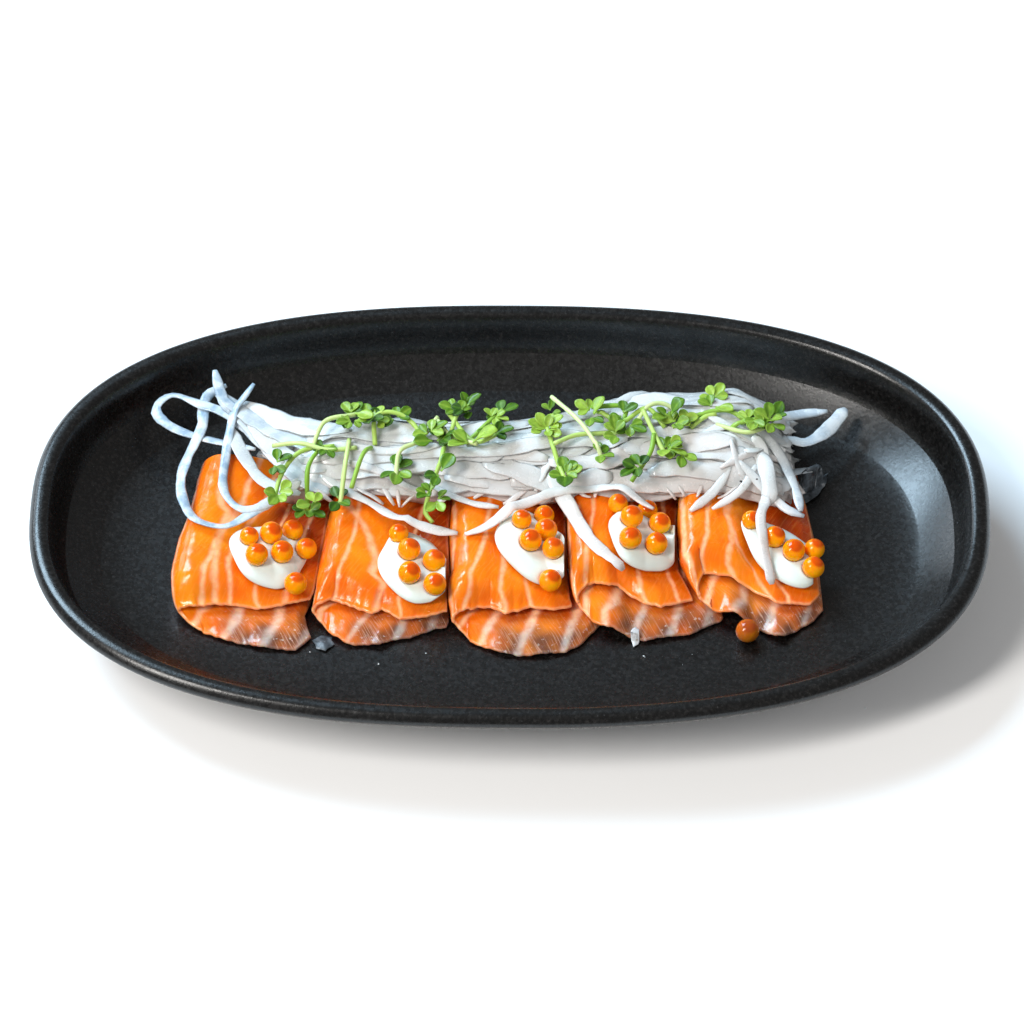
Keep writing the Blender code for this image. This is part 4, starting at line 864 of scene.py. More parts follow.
def slice_point(data, s, v):
    """Middle surface of a folded slice, with the distance along the sheet, the distance from the front, and
    the layer: 0 for the lower one, 1 for the fold, 2 for the upper one."""
    thick = SLICE_THICKNESS
    turn = data["fold"] - thick / 2
    right_front = data["front"][-1][0]
    left_front = data["front"][0][0] + data["fold"]
    top_end = data["top_front"][-1][0]
    top_start = along(data["left"], data["top_front"][0][1]) + data["fold"]
    back = BACK_EDGE + 1.2 * math.sin(data["phase"] * 3 + s * 7)
    low, high = LAYER_PARTS
    if s <= low:
        t = s / low
        front = along(data["front"], right_front + (left_front - right_front) * t)
    elif s < high:
        t = (s - low) / (high - low)
        corner = data["front"][0]
        if t < 0.5:
            front = along(data["front"], corner[0] + data["fold"] * (1 - math.sin(math.pi * t)))
        else:
            second = along(data["top_front"], top_start)
            front = corner[1] + (second - corner[1]) * (2 * t - 1)
    else:
        t = (s - high) / (1 - high)
        front = along(data["top_front"], top_start + (top_end - top_start) * t)
    y = front + (back - front) * v
    left = along(data["left"], y)
    centre = left + data["fold"]
    right = along(data["right"], y)
    top_right = data["top_right"](y)
    if s <= low:
        x = right + (centre - right) * s / low
    elif s < high:
        x = centre
    else:
        x = centre + (top_right - centre) * (s - high) / (1 - high)
    pinch = 1.0 - PINCH * (1.0 - smooth((y - front) / 8.0))
    ramp = 1.0 - smooth((x - data["lift_end"]) / 8.0)
    base = FLOOR + 0.3 + thick / 2 + data["lift"] * ramp
    if s <= low:
        ahead = max(0.0, along(data["top_front"], x) - 2.5 - y) / 7.0
        side = smooth((right - x) / 12.0)
        wave = 0.5 + 0.5 * math.sin(x * 0.55 + data["phase"])
        z = base + data["ruffle"] * min(1.0, ahead) ** 1.5 * wave * side
        return x, y, z, -math.pi * turn - (x - centre), y - front, 0
    if s < high:
        t = (s - low) / (high - low)
        angle = -math.pi / 2 - math.pi * t
        x = centre + turn * math.cos(angle)
        return x, y, base + (turn + turn * math.sin(angle)) * pinch, -math.pi * turn * (1 - t), y - front, 1
    drop = smooth((x - centre) / 22.0)
    wave = 0.5 + 0.5 * math.sin(y * 0.21 + x * 0.13 + data["phase"] * 2)
    low_end = thick + 0.45
    z = base + max(2 * turn * pinch, low_end) * (1 - drop) + low_end * drop + 1.0 * wave * drop
    return x, y, z, x - centre, y - front, 2


def slice_grid(k, data):
    """Middle surface of a slice as a grid of points, with the two distances and the layer at each."""
    rim = [0.0, 0.0022, 0.006, 0.012, 0.021]
    across = [r * 0.7 for r in rim] + list(np.linspace(0.026, 0.345, 62))
    across += list(np.linspace(0.3525, 0.6075, 50))
    across += list(np.linspace(0.615, 0.978, 74)) + [1 - r * 0.7 for r in reversed(rim)]
    deep = rim + list(np.linspace(0.03, 0.97, 108)) + [1 - r for r in reversed(rim)]
    middle = np.zeros((len(deep), len(across), 3))
    run = np.zeros(middle.shape[:2])
    ahead = np.zeros(middle.shape[:2])
    layer = np.zeros(middle.shape[:2], dtype=int)
    for i, v in enumerate(deep):
        for j, s in enumerate(across):
            x, y, z, run[i, j], ahead[i, j], layer[i, j] = slice_point(data, s, v)
            ragged = 0.40 * grain(run[i, j], 0.0, k * 7.0, 1.5)
            middle[i, j] = (x, y + ragged * max(0.0, 1 - ahead[i, j] / 3.0), z)
    return middle, run, ahead, layer


def edge_distances(middle):
    """Distances on a grid of points from its front, its back, its low side and its high side."""
    rows, columns = middle.shape[:2]
    steps = np.linalg.norm(np.diff(middle, axis=0), axis=2)
    from_front = np.vstack([np.zeros(columns), np.cumsum(steps, axis=0)])
    steps = np.linalg.norm(np.diff(middle, axis=1), axis=2)
    from_low = np.hstack([np.zeros((rows, 1)), np.cumsum(steps, axis=1)])
    return from_front, from_front[-1] - from_front, from_low, from_low[:, -1:] - from_low


def over_sheet(run, y, value):
    """A value that depends on the place on a slice's sheet, over the whole grid."""
    return np.array([[value(u, v) for u, v in zip(*row)] for row in zip(run, y)])


def slice_paint(k, data, run, ahead, layer, y, edge):
    """The stripes of fat, and three painted amounts: fat with a painted highlight on its rim, thin flap,
    painted shade in deep places.
    """
    spots = over_sheet(run, y, lambda u, v: grain(u, v, 3.0, 4.0))
    wide, fine = 0.6, 0.25
    sway = over_sheet(run, y, lambda u, v: wide * grain(u, v, k * 3.0, 6.0) + fine * grain(u, v, k * 5.0, 2.0))
    w = run + sway
    fat = np.zeros(run.shape)
    for path, width, strength in STRIPES[k]:
        at = np.interp(y, [p[0] for p in path], [p[1] for p in path])
        away = np.abs(w - at) / (width * (1.0 + 0.3 * spots))
        fat = np.maximum(fat, strength * np.exp(-away ** 3.0))
    under_layer = (layer == 0).astype(float)
    thin = under_layer * ease(1.15 - ahead / 14.0) * (0.85 + 0.5 * spots)
    thin *= ease((-run - math.pi * (data["fold"] - 1.3)) / 11.0)
    # Painted shade: darker where the lower layer lies under the upper one, towards the back right of the upper
    # layer behind the cream, and in the fold.
    shade = under_layer * ease((ahead - 7.0) / 8.0) + (layer == 2) * 0.45 * ease((run - 11.0) / 14.0)
    shade += (layer == 2) * 0.75 * ease((run - 10.0) / 9.0) * ease((y + 12.0) / 14.0)
    shade += (layer == 1) * 0.25 * ease(-run / 8.0)
    # Painted highlight: a pale line along the cut edges, half as strong on the lower layer.
    painted_rim_highlight = 0.60 * np.clip(1 - edge / 0.7, 0, 1) * np.where(layer == 0, 0.5, 1.0)
    return fat, np.clip(np.stack([np.maximum(fat, painted_rim_highlight), thin, shade], axis=2), 0, 1)


def make_slice(k, data, slot):
    """A folded slice as a thick sheet with ragged, thinner edges and its fat pressed in a little."""
    middle, run, ahead, layer = slice_grid(k, data)
    normal = np.cross(np.gradient(middle, axis=1), np.gradient(middle, axis=0))
    normal /= np.linalg.norm(normal, axis=2)[:, :, None] + 1e-9
    from_front, from_back, from_low, from_high = edge_distances(middle)
    from_sides = np.minimum(from_low, from_high)
    edge = np.minimum(np.minimum(from_front, from_back), from_sides)
    lip = ease(np.minimum(from_front / 6.5, from_sides / 4.0))
    body = SLICE_THICKNESS / 2 * (0.40 + 0.60 * lip)
    half = body * np.sqrt(np.clip(1 - (1 - np.clip(edge / 0.6, 0, 1)) ** 2, 0.02, 1))
    sag = np.where(layer == 0, 0.85, np.where(layer == 2, 0.55, 0.0))
    middle[:, :, 2] -= (SLICE_THICKNESS / 2 - body) * sag
    y = middle[:, :, 1]
    fat, paint = slice_paint(k, data, run, ahead, layer, y, edge)
    lumps = over_sheet(run, y, lambda u, v: grain(u, v, k * 11.0, 2.6) + grain(u * 3, v * 0.6, k, 2.0))
    relief = (0.07 * lumps - 0.08 * fat) * np.clip(edge / 1.5, 0, 1)
    top = middle + normal * (half + relief)[:, :, None]
    under = middle - normal * half[:, :, None]
    points, faces = sheet(top, under)
    paint = paint.reshape(-1, 3)
    spread = np.stack([run, y], axis=2).reshape(-1, 2)
    name = "sliced_salmon_%d" % (k + 1)
    return solid(name, points, faces, slot, np.concatenate([paint, paint]), np.concatenate([spread, spread]))


def make_cream(k, data, pile, eggs, slot):
    """A smooth dollop over the same base as its solid, pressed in under the eggs."""
    steps = 13
    fine = 104
    turn = math.radians(data["turn"])

    def place(angle, part):
        wobble = 1.0 + 0.05 * math.sin(3 * angle + data["at"][0]) + 0.03 * math.sin(5 * angle + data["at"][1])
        u = data["half"][0] * part * wobble * math.cos(angle)
        w = data["half"][1] * part * wobble * math.sin(angle)
        x = data["at"][0] + u * math.cos(turn) - w * math.sin(turn)
        y = data["at"][1] + u * math.sin(turn) + w * math.cos(turn)
        return min(x, data["limit"] - 0.6 * (1 - part)), y

    stops = [0.0, 0.45, 0.83, 1.0]
    base = np.zeros((4, steps + 1))
    for a, part in enumerate(stops):
        for n in range(steps + 1):
            x, y = place(2 * math.pi * (n % steps) / steps, part)
            base[a, n] = pile.over(x, y, 2.2) + GAP

    def bed(angle, part):
        column = (angle / (2 * math.pi) * steps) % steps
        n = int(column)
        rows = [base[a, n] + (base[a, n + 1] - base[a, n]) * (column - n) for a in range(4)]
        return float(np.interp(part, stops, rows))

    dome = [(0.0, 1.0), (0.25, 0.985), (0.45, 0.93), (0.66, 0.80), (0.83, 0.60), (0.95, 0.36), (1.0, 0.16)]
    shape = eased(dome, 6) + eased([(0.985, 0.05), (0.93, 0.0), (0.7, 0.0), (0.0, 0.0)], 3)
    points = []
    for part, rise in shape:
        for n in range(fine):
            angle = 2 * math.pi * n / fine
            x, y = place(angle, max(part, 0.004))
            z = bed(angle, part) + data["high"] * rise + (0.2 if rise > 0 else 0.0)
            z += 0.12 * grain(x, y, 4.0, 4.5) * min(1.0, rise * 3)
            if rise > 0:
                for ex, ey, ez, radius in eggs:
                    r = radius + 0.12
                    away = (x - ex) ** 2 + (y - ey) ** 2
                    if away < r * r:
                        z = min(z, ez - math.sqrt(r * r - away))
                z = max(z, bed(angle, part) + 0.1)
            points.append((x, y, z))
    return solid("dollop_%d" % (k + 1), points, tube(fine, len(shape)), slot)


def ball(centre, radius, level, dull=0.0):
    """A round egg, painted where light gathers on its lower front and where its heart shows through."""
    places, faces = round_shape(level)
    points = []
    paint = []
    gather = Vector((0.38, -0.62, -0.30)).normalized()
    sway = 0.15 * math.sin(centre[0] * 3), 0.2 * math.sin(centre[1] * 2)
    heart = Vector((0.30 + sway[0], -0.12 + sway[1], 1.0)).normalized()
    for co in places:
        swell = radius * (1.0 + 0.02 * grain(co.x + centre[0], co.y + centre[1], co.z, 0.9))
        points.append(tuple(middle + value * swell for middle, value in zip(centre, co)))
        lit = smooth(co.dot(gather) + 0.15)
        core = smooth((co.dot(heart) - 0.72) / 0.16) * 0.80
        paint.append((lit, core, dull))
    return points, faces, paint


def even_path(points, spacing):
    """Points at an even spacing along a smooth curve through the given points."""
    pts = [Vector(p) for p in points]
    pts = [pts[0] * 2 - pts[1]] + pts + [pts[-1] * 2 - pts[-2]]
    fine = []
    for i in range(1, len(pts) - 2):
        p0, p1, p2, p3 = pts[i - 1:i + 3]
        for k in range(12):
            t = k / 12
            fine.append(0.5 * ((2 * p1) + (p2 - p0) * t + (2 * p0 - 5 * p1 + 4 * p2 - p3) * t * t
                               + (3 * p1 - p0 - 3 * p2 + p3) * t ** 3))
    fine.append(pts[-2])
    length = [0.0]
    for a, b in zip(fine, fine[1:]):
        length.append(length[-1] + (b - a).length)
    count = max(2, int(round(length[-1] / spacing)))
    result = []
    for k in range(count + 1):
        want = length[-1] * k / count
        i = min(len(fine) - 2, max(0, int(np.searchsorted(length, want)) - 1))
        span = length[i + 1] - length[i]
        t = (want - length[i]) / span if span > 0 else 0.0
        result.append(fine[i].lerp(fine[i + 1], t))
    return result


def settle(points, pile, reach, clear):
    """Lift a path until it clears the pile, then ease it so that it hangs evenly."""
    need = [pile.over(p.x, p.y, reach) + clear for p in points]
    high = [max(p.z, n) for p, n in zip(points, need)]
    for _ in range(6):
        for i in range(1, len(high) - 1):
            mean = (high[i - 1] + high[i + 1]) / 2
            high[i] = max(need[i], high[i] + 0.6 * (mean - high[i]))
    for _ in range(8):
        for i in range(len(points) - 1):
            for part in (0.2, 0.4, 0.6, 0.8):
                here = points[i].lerp(points[i + 1], part)
                short = pile.over(here.x, here.y, reach) + clear - (high[i] * (1 - part) + high[i + 1] * part)
                if short > 0:
                    scale = short / ((1 - part) ** 2 + part ** 2)
                    high[i] += scale * (1 - part)
                    high[i + 1] += scale * part
    return [Vector((p.x, p.y, h)) for p, h in zip(points, high)]


def strand(cluster, path, width, thick, roll, seed, blunt=False, paint=(0.0, 0.0, 0.0), follow=None):
    """A moist shred: a flat strip with rounded edges that wavers and thins towards its ends."""
    sides = 10
    thinning = 0.75 if width > 3.4 else 0.35
    count = len(path)
    points = []
    uv = []
    tones = []
    run = 0.0
    for i, here in enumerate(path):
        if i:
            run += (here - path[i - 1]).length
        side, up = across_path(path, i)
        turn = roll * math.sin(run * 0.11 + seed) + 0.25 * grain(run, seed * 3.7, 0.0, 9.0)
        if follow:
            turn += 0.85 * math.atan(slope(follow, here, side))
        end = min(i, count - 1 - i)
        part = 1.0 if (blunt and end > 0) else min(1.0, 0.42 + 0.24 * end)
        w = width / 2 * part * (1.0 + 0.30 * grain(run, seed, 5.0, 6.0) + 0.12 * grain(run, seed, 2.0, 1.7))
        h = thick / 2 * min(1.0, part + 0.3) * (1.0 + 0.25 * grain(run, seed, 9.0, 5.0))
        for k in range(sides):
            angle = 2 * math.pi * k / sides
            c, s = math.cos(angle), math.sin(angle)
            u = w * math.copysign(abs(c) ** 0.75, c)
            v = h * math.copysign(abs(s) ** 0.75, s) * (1.0 - thinning * abs(c))
            a = u * math.cos(turn) - v * math.sin(turn)
            b = u * math.sin(turn) + v * math.cos(turn)
            points.append(tuple(here + side * a + up * b))
            uv.append((u + seed, run + seed * 9))
            tones.append(paint(here) if callable(paint) else paint)
    cluster.add(points, tube(sides, count), tones, uv)


def heap_shape(x):
    """Middle line, half width and height of the heap of shreds at a place along it."""
    grown = smooth(x / 45.0) * smooth((88.0 - x) / 20.0)
    sizes = (HEAP_MIDDLE, HEAP_HALF, HEAP_HEIGHT)
    return [size + more * grown for size, more in zip(sizes, HEAP_GROWTH)]


def heap_top(x, y):
    """Height of the heap of shreds above the table."""
    middle, half, high = heap_shape(x)
    across = (y - middle) / half
    ends = smooth((x + 68.0) / 14.0) * smooth((78.0 - x) / 16.0)
    bumps = 0.8 * math.sin(x * 0.23) * math.cos(y * 0.31) + 0.6 * math.sin(x * 0.11 + 1.0)
    base = 8.0 - 6.0 * smooth((y - middle - 2.0) / (half - 2.5))
    dome = math.sqrt(max(0.0, 1.0 - across * across))
    return FLOOR + base + (high - base + bumps) * dome * (0.35 + 0.65 * ends)


def cool(here):
    """Loose shreds look blue towards the ends of the dish and warm over the salmon."""
    blue = max(smooth((-58.0 - here.x) / 14.0), 0.6 * smooth((here.x - 66.0) / 14.0))
    warm = 0.35 * smooth((11.0 - here.y) / 8.0) * (1.0 - blue)
    return (blue, warm, 0.0)


def heap_core(heap, pile):
    """The hidden inside of the heap, between what lies under it and its top."""
    top = []
    under = []
    for part in np.linspace(*HEAP_SPAN["parts"], 17):
        top_row = []
        under_row = []
        for x in np.linspace(*HEAP_SPAN["x"], 60):
            middle, half, high = heap_shape(x)
            y = middle + half * part
            low = pile.over(x, y, 2.6) + GAP + 0.2
            high = max(heap_top(x, y) - 2.6, low + 0.4)
            top_row.append((x, y, high + 0.4 * grain(x, y, 2.0, 4.0)))
            under_row.append((x, y, low))
        top.append(top_row)
        under.append(under_row)
    points, faces = sheet(top, under)
    # The core is painted grey: painted shade for the gaps between the shreds, where it shows.
    heap.add(points, faces, (0.0, 0.0, 0.8))


def loose_path(points, spacing, pile, reach, clear):
    """A path given by heights above the dish's floor, settled on the pile."""
    path = even_path([(x, y, FLOOR + z) for x, y, z in points], spacing)
    return settle(path, pile, reach, clear)


def lifted(path, pile, reach, clear):
    """A path with every point that lies too low lifted off the pile."""
    return [Vector((p.x, p.y, max(p.z, pile.over(p.x, p.y, reach) + clear))) for p in path]


def loose_shreds(heap, pile):
    """The long shreds that leave the heap, the broad ones at its left end and the lump at its right end."""
    for i, (points, width) in enumerate(SHREDS):
        path = loose_path(points, 1.6, pile, width / 2 + 0.5, SHRED_THICKNESS / 2 + 0.3)
        strand(heap, path, width, SHRED_THICKNESS, 0.35, i * 1.37, i in BLUNT_SHREDS, cool)
    for i, (points, width) in enumerate(LEFT_END):
        path = loose_path(points, 1.6, pile, width / 2, 0.8)
        strand(heap, path, width, 0.8, 0.25, i * 2.1, False, (0.55 - 0.12 * i, 0.0, 0.0))
    strand(heap, loose_path(LUMP, 1.2, pile, 2.0, 1.3), 4.6, 2.4, 0.3, 4.4, False, (0.1, 0.0, 0.0))


def layered_shreds(heap, pile, rng):
    """Shreds laid one over another along the heap, the broad ones first."""

    def ground(x, y):
        middle, half, high = heap_shape(x)
        low, far = HEAP_SPAN["x"]
        near, back = HEAP_SPAN["parts"]
        if low <= x <= far and near <= (y - middle) / half <= back:
            return max(heap_top(x, y) - 2.7, pile.top(x, y) + 0.4)
        return pile.top(x, y) + 0.4

    layers = Layers(ground)
    laid = 0
    for count, lengths, widths, thick, spread, roll, grey in HEAP_FAMILIES:
        for i in range(count):
            laid += 1
            start = -70.0 + 132.0 * ((i * 0.7548777 + 0.13) % 1.0)
            length = rng.uniform(*lengths)
            part = -0.86 + 1.72 * ((i * 0.5698403 + 0.4) % 1.0)
            drift = rng.uniform(-spread, spread)
            bend = rng.uniform(-0.16, 0.16)
            path = []
            for k in range(6):
                t = k / 5
                x = min(77.0 - 3.0 * rng.random(), start + length * t)
                middle, half, high = heap_shape(x)
                side = part + drift * t + bend * math.sin(t * 3.1) + 0.04 * math.sin(t * 7.0 + i)
                path.append((x, middle + half * min(0.93, max(-0.97, side)), 0.0))
            width = rng.uniform(*widths)
            tints = rng.random(), rng.random(), rng.random()
            path = layers.lay(even_path(path, 1.9), width, thick)
            if path is None:
                continue
            path = lifted(path, pile, 1.8, thick / 2 + 0.3)
            warm = 0.40 * smooth(-part * 1.6) * tints[1]
            tint = (0.12 * tints[0], warm, grey * tints[2])
            strand(heap, path, width, thick, roll, laid * 0.73, False, tint, heap_top)


def front_shreds(heap, pile, rng):
    """Short thin ends that hang from the front of the heap."""
    for i in range(15):
        x = -60.0 + 124.0 * ((i * 0.618034 + 0.2) % 1.0)
        middle, half, high = heap_shape(x)
        lean = rng.uniform(-8.0, 8.0)
        path = []
        for k in range(4):
            t = k / 3
            y = middle - half * (0.80 + 0.10 * t) - 3.2 * t * rng.uniform(0.5, 1.2)
            path.append((x + lean * t, y, heap_top(x, middle - half * 0.84) - 0.4 - 2.2 * t * t))
        path = lifted(even_path(path, 1.2), pile, 1.2, 0.8)
        strand(heap, path, rng.uniform(1.0, 2.2), 0.7, 0.5, i * 0.91, False, (0.0, 0.4, 0.0))


def make_heap(pile, slot, rng):
    """The heap of shredded radish over a hidden core."""
    heap = Cluster()
    heap_core(heap, pile)
    loose_shreds(heap, pile)
    layered_shreds(heap, pile, rng)
    front_shreds(heap, pile, rng)
    return heap.make("radish_heap", slot)


def crumb(centre, size, seed):
    """One small uneven lump, wider than it is high."""
    places, faces = round_shape(2)
    points = []
    for co in places:
        swell = size * (1.0 + 0.35 * grain(co.x + seed * 3.1, co.y, co.z, 0.8))
        points.append(tuple(m + v * swell * s for m, v, s in zip(centre, co, (1.0, 0.8, 0.6))))
    return points, faces


def scrap(outline, lift, thick, seed):
    """A thin torn scrap inside an outline given from its middle, crumpled a little."""
    rings = 5
    count = len(outline)
    cx = sum(p[0] for p in outline) / count
    cy = sum(p[1] for p in outline) / count
    edge = []
    for i in range(count):
        a, b = outline[i], outline[(i + 1) % count]
        edge += [(a[0] + (b[0] - a[0]) * t, a[1] + (b[1] - a[1]) * t) for t in (0.0, 0.25, 0.5, 0.75)]
    top = []
    under = []
    for r in range(rings):
        part = max(0.02, r / (rings - 1))
        top_row = []
        under_row = []
        for x, y in edge + [edge[0]]:
            x, y = cx + (x - cx) * part, cy + (y - cy) * part
            x += 0.5 * part * grain(x, y, seed, 1.6)
            z = lift(x, y) + 0.3 + 0.3 * (1.0 + grain(x, y, seed * 2.0, 2.2))
            top_row.append((x, y, z + thick / 2 * (1.1 - part)))
            under_row.append((x, y, z - thick / 2 * (1.1 - part)))
        top.append(top_row)
        under.append(under_row)
    return sheet(top, under)


def make_bits(pile, root):
    """Seeds on the shreds, crumbs, scraps of skin and a film of flesh, each with the node it is like."""
    rng = random.Random(11)
    seeds, skin, crumbs = Cluster(), Cluster(), Cluster()
    for n, (x, y, size) in enumerate(SEEDS):
        points, faces = crumb((x, y, pile.top(x, y) + size * 0.4), size, n)
        seeds.add(points, faces, (0.0, 0.0, 0.0))
    for n in range(46):
        x = rng.uniform(-70.0, 96.0)
        y = -rng.uniform(36.0, 56.0)
        size = rng.uniform(0.10, 0.26)
        points, faces = crumb((x, y, FLOOR + size * 0.3), size, n)
        crumbs.add(points, faces, (0.3, 0.0, 0.2))
    for n, (outline, thick) in enumerate(SKIN):
        points, faces = scrap(outline, pile.top, thick, n * 2.3)
        skin.add(points, faces, (0.0, 0.0, 0.0))
    points, faces = scrap(FILM[0], pile.top, FILM[1], 7.0)
    crumbs.add(points, faces, (0.35, 0.1, 0.4))
    return [
        (seeds.make("black_seeds", dark_seed()), "radish_shreds"),
        (skin.make("skin_scraps", silver_skin()), "salmon_slice_2"),
        (crumbs.make("radish_crumbs", root), "radish_shreds"),
    ]


def stem(cluster, path, radius, pale):
    """One round stalk of cress."""
    sides = 8
    points = []
    for i, here in enumerate(path):
        side, up = across_path(path, i)
        r = radius * (1.0 + 0.15 * grain(i * 1.3, pale * 9, 0.0, 2.0))
        for k in range(sides):
            turn = 2 * math.pi * k / sides
            points.append(tuple(here + (side * math.cos(turn) + up * math.sin(turn)) * r))
    cluster.add(points, tube(sides, len(path)), (0.5, 1.0, pale))


def leaf(cluster, foot, turn, long, wide, tilt, roll, tone):
    """One small cupped lobe with a slim foot and a mid rib, from its foot outwards."""
    rows = 11
    columns = 7
    half_thick = 0.15
    ahead = Vector((math.cos(turn), math.sin(turn), 0.0))
    side = Vector((-math.sin(turn), math.cos(turn), 0.0))
    up = Vector((0, 0, 1))
    up, ahead = up * math.cos(tilt) - ahead * math.sin(tilt), ahead * math.cos(tilt) + up * math.sin(tilt)
    up, side = up * math.cos(roll) - side * math.sin(roll), side * math.cos(roll) + up * math.sin(roll)
    top = []
    under = []
    tones = []
    for i in range(rows):
        u = i / (rows - 1)
        blade = math.sin(math.pi * min(1.0, max(0.0, (u - 0.16) / 0.84)) ** 1.15) ** 0.55
        half = max(0.14 * wide, wide * blade)
        if i == rows - 1:
            half = 0.16 * wide
        top_row = []
        under_row = []
        for j in range(columns):
            w = -1 + 2 * j / (columns - 1)
            cup = 0.30 * half * w * w - 0.9 * (u - 0.45) ** 2 * tilt * 2.0
            here = Vector(foot) + ahead * (u * long) + side * (w * half) + up * cup
            here.z = min(here.z, TALLEST + 1.0)
            top_row.append(tuple(here + up * half_thick))
            under_row.append(tuple(here - up * half_thick))
            rib = 0.25 if j == columns // 2 else 0.0
            shade = tone + rib + 0.12 * grain(u * 4 + turn, w * 3, long, 1.0)
            tones.append((min(1.0, max(0.0, shade)), 0.0 if u > 0.12 else 0.6, 0.3))
        top.append(top_row)
        under.append(under_row)
    points, faces = sheet(top, under)
    cluster.add(points, faces, tones + tones)


def make_cress(name, stems, leaves, pile, slot, rng):
    """A tuft of stems and leaves laid on the pile."""
    tuft = Cluster()
    for points in stems:
        path = even_path([(x, y, pile.over(x, y, 1.5) + z) for x, y, z in points], 1.2)
        path = settle(path, pile, 1.0, STEM_RADIUS + 0.25)
        path = [Vector((p.x, p.y, min(p.z, TALLEST))) for p in path]
        stem(tuft, path, STEM_RADIUS, rng.uniform(0.0, 1.0))
    for i, (x, y, z, angle, size) in enumerate(leaves):
        tilt = rng.uniform(0.0, 0.55)
        long = LEAF_LENGTH * size
        high = min(TALLEST - 2.0, pile.over(x, y, long * 0.62) + max(z, 1.1))
        turn = math.radians(angle)
        tone = rng.uniform(0.20, 1.0)
        foot = (x - math.cos(turn) * long * 0.48, y - math.sin(turn) * long * 0.48, high)
        for spread, far, wide in FANS[("three", "two", "three", "one")[i % 4]]:
            lift = tilt + rng.uniform(-0.15, 0.25)
            shade = min(1.0, max(0.0, tone + rng.uniform(-0.2, 0.2)))
            leaf(tuft, foot, turn + spread, long * far, long * wide, lift, rng.uniform(-0.5, 0.5), shade)
        second = turn + rng.choice((-2.2, 2.2, 2.8))
        near = (foot[0] - math.cos(turn) * 1.3, foot[1] - math.sin(turn) * 1.3, high - 0.3)
        for spread, far, wide in FANS["small"]:
            shade = min(1.0, max(0.0, tone + rng.uniform(-0.3, 0.3)))
            roll = rng.uniform(-0.5, 0.5)
            leaf(tuft, near, second + spread, long * far, long * wide, tilt * 0.6, roll, shade)
    return tuft.make(name, slot)


# Light and camera

def lamp(name, place, target, size, power, colour=(1, 1, 1), tall=None):
    """A square lamp, or one as high as tall says, that faces its target. Places are in metres."""
    light = bpy.data.lights.new(name, "AREA")
    light.energy = power
    light.color = colour
    light.size = size
    if tall:
        light.shape = "RECTANGLE"
        light.size_y = tall
    body = bpy.data.objects.new(name, light)
    body.location = place
    body.rotation_mode = "QUATERNION"
    body.rotation_quaternion = (Vector(target) - Vector(place)).to_track_quat("-Z", "Y")
    bpy.context.scene.collection.objects.link(body)
    return body


def make_camera():
    """A long lens 1.7 m away and 48 degrees up, turned a little round the dish."""
    tip = math.radians(48)
    turn = -0.029
    roll = 0.017
    distance = 1.685
    target = Vector((0, 0, 0.0235))
    # Pixels per metre at the target, the picture's width, and how many pixels the target is off its middle.
    scale = 3690.0
    picture = 1024
    shift = (2.63, -0.12)
    ahead = Vector((math.sin(turn) * math.cos(tip), math.cos(turn) * math.cos(tip), -math.sin(tip)))
    right = Vector((math.cos(turn), -math.sin(turn), 0.0))
    up = Vector((math.sin(turn) * math.sin(tip), math.cos(turn) * math.sin(tip), math.cos(tip)))
    side = right * math.cos(roll) - up * math.sin(roll)
    head = right * math.sin(roll) + up * math.cos(roll)
    eye = target - ahead * distance + side * (shift[0] / scale) + head * (shift[1] / scale)
    data = bpy.data.cameras.new("camera")
    data.sensor_width = 36.0
    data.lens = scale * distance / picture * data.sensor_width
    data.clip_start = 0.05
    data.clip_end = 20.0
    camera = bpy.data.objects.new("camera", data)
    camera.matrix_world = Matrix((
        (side.x, head.x, -ahead.x, eye.x),
        (side.y, head.y, -ahead.y, eye.y),
        (side.z, head.z, -ahead.z, eye.z),
        (0, 0, 0, 1),
    ))
    bpy.context.scene.collection.objects.link(camera)
    bpy.context.scene.camera = camera


def make_stage():
    """A pale floor, even surroundings and four lamps, the fill lamp kept out of mirrored light."""
    world = bpy.data.worlds.new("studio")
    world.use_nodes = True
    sky = world.node_tree.nodes["Background"]
    sky.inputs["Color"].default_value = (0.97, 0.97, 0.97, 1.0)
    sky.inputs["Strength"].default_value = 0.22
    bpy.context.scene.world = world
    bpy.context.scene.view_settings.view_transform = "Standard"
    mesh = bpy.data.meshes.new("studio_floor")
    half, low = 4, -0.0004
    corners = [(-half, -half, low), (half, -half, low), (half, half, low), (-half, half, low)]
    mesh.from_pydata(corners, [], [(0, 1, 2, 3)])
    mesh.materials.append(plain_floor())
    floor = bpy.data.objects.new("studio_floor", mesh)
    bpy.context.scene.collection.objects.link(floor)
    lamp("key", (-0.90, -0.62, 1.15), (0, 0, 0), 0.30, 22.0, (1.0, 0.97, 0.93), 0.9)
    lamp("window", (-0.95, 0.86, 1.38), (0, 0, 0.02), 0.95, 46.0, (0.60, 0.82, 1.0), 0.75)
    lamp("fill", (0.9, -1.2, 1.2), (0, 0, 0), 1.2, 9.0).visible_glossy = False
    lamp("low", (-1.45, 1.35, 0.60), (0, 0, 0), 0.6, 6.0, (0.80, 0.90, 1.0))


def stand_for(body, slots, *names):
    """Show a piece in place of one or more of the solids."""
    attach(body, "root")
    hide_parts(*names)


def lay_slices(pile, nodes, slots):
    """Fold the slices, each up to the left edge of the next one, on their way onto the pile."""
    fish = salmon()
    for k, data in enumerate(SLICES):
        if k + 1 < len(SLICES):
            data["top_right"] = lambda y, line=SLICES[k + 1]["left"]: along(line, y) - 0.25
        else:
            data["top_right"] = lambda y, line=data["right"]: along(line, y) - 0.8
        name = "salmon_slice_%d" % (k + 1)
        pile.add(nodes[name])
        stand_for(make_slice(k, data, fish), slots, name)


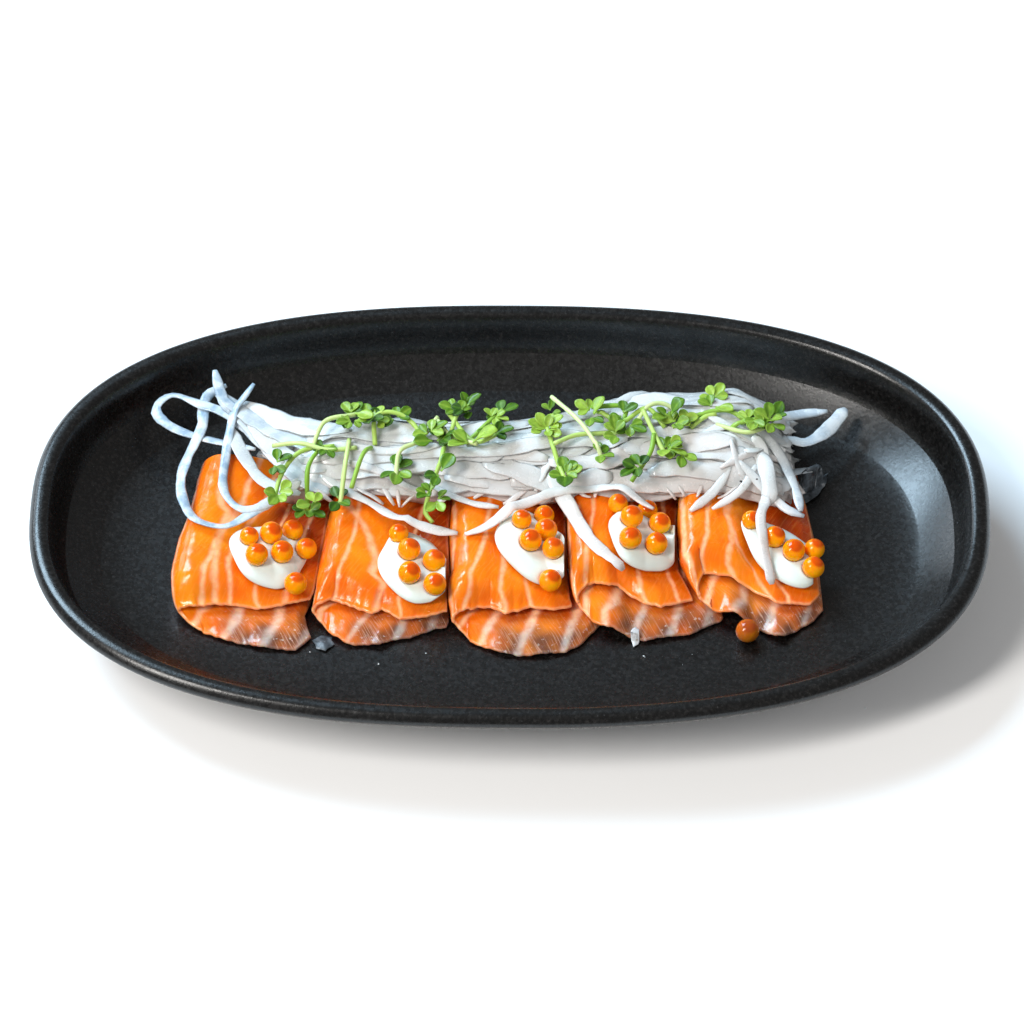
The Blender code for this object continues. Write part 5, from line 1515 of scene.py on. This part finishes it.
def lay_cream_and_roe(pile, slots):
    """Put the dollops and their eggs on the slices, and return the names of all eggs."""
    white, egg, heart = cream(), roe(), yolk()
    eggs = Cluster()
    hearts = Cluster()
    names = []
    groups = []
    for k, group in enumerate(EGGS):
        row = []
        for n, (x, y, radius) in enumerate(group):
            names.append("roe_%d_%d" % (k + 1, n + 1))
            low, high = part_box(names[-1])
            row.append((x, y, (low[2] + high[2]) / 2 / MM, radius))
        groups.append(row)
    x, y, radius = LONE_EGG
    everyone = [e for row in groups for e in row] + [(x, y, FLOOR + radius + 0.3, radius)]
    names.append("roe_loose")
    for n, (x, y, z, radius) in enumerate(everyone):
        points, faces, paint = ball((x, y, z), radius, 4, 0.75 if n == len(everyone) - 1 else 0.0)
        eggs.add(points, faces, paint)
        heart_place = (x + 0.3 * math.sin(n * 2.1), y + 0.5, z + 0.25 * radius)
        points, faces, paint = ball(heart_place, radius * 0.42, 3)
        hearts.add(points, faces, paint)
    for k, data in enumerate(CREAMS):
        stand_for(make_cream(k, data, pile, groups[k], white), slots, "cream_%d" % (k + 1))
    stand_for(eggs.make("roe_eggs", egg), slots, *names)
    inner = hearts.make("roe_hearts", heart)
    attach(inner, "root")
    return names


def dress(frame):
    """Lay everything in the order in which the dish is filled, so that each thing rests on what is there."""
    rng = random.Random(7)
    nodes = frame["nodes"]
    slots = {s["node"]: s["material_slot"] for s in frame["record"]["subparts"]}
    root, herb = radish(), cress()
    stand_for(make_dish(stoneware()), slots, "dish")
    pile = Pile()
    pile.add(nodes["dish"])
    lay_slices(pile, nodes, slots)
    pile.close()
    names = lay_cream_and_roe(pile, slots)
    for name in ["cream_%d" % (k + 1) for k in range(len(CREAMS))] + names:
        pile.add(nodes[name])
    pile.close()
    stand_for(make_heap(pile, root, rng), slots, "radish_shreds")
    pile.add(nodes["radish_shreds"])
    pile.close()
    for body, like in make_bits(pile, root):
        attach(body, "root")
    left = make_cress("cress_tuft_left", LEFT_STEMS, LEFT_LEAVES, pile, herb, rng)
    stand_for(left, slots, "cress_left")
    right = make_cress("cress_tuft_right", RIGHT_STEMS, RIGHT_LEAVES, pile, herb, rng)
    stand_for(right, slots, "cress_right")


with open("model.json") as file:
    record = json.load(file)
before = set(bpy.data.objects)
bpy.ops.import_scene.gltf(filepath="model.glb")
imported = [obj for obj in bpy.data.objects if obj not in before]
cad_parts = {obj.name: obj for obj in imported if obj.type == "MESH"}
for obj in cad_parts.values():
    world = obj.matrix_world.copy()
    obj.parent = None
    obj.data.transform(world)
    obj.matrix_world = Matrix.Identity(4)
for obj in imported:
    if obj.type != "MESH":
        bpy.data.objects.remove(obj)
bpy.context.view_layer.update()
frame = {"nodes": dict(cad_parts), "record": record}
dress(frame)
make_stage()
make_camera()
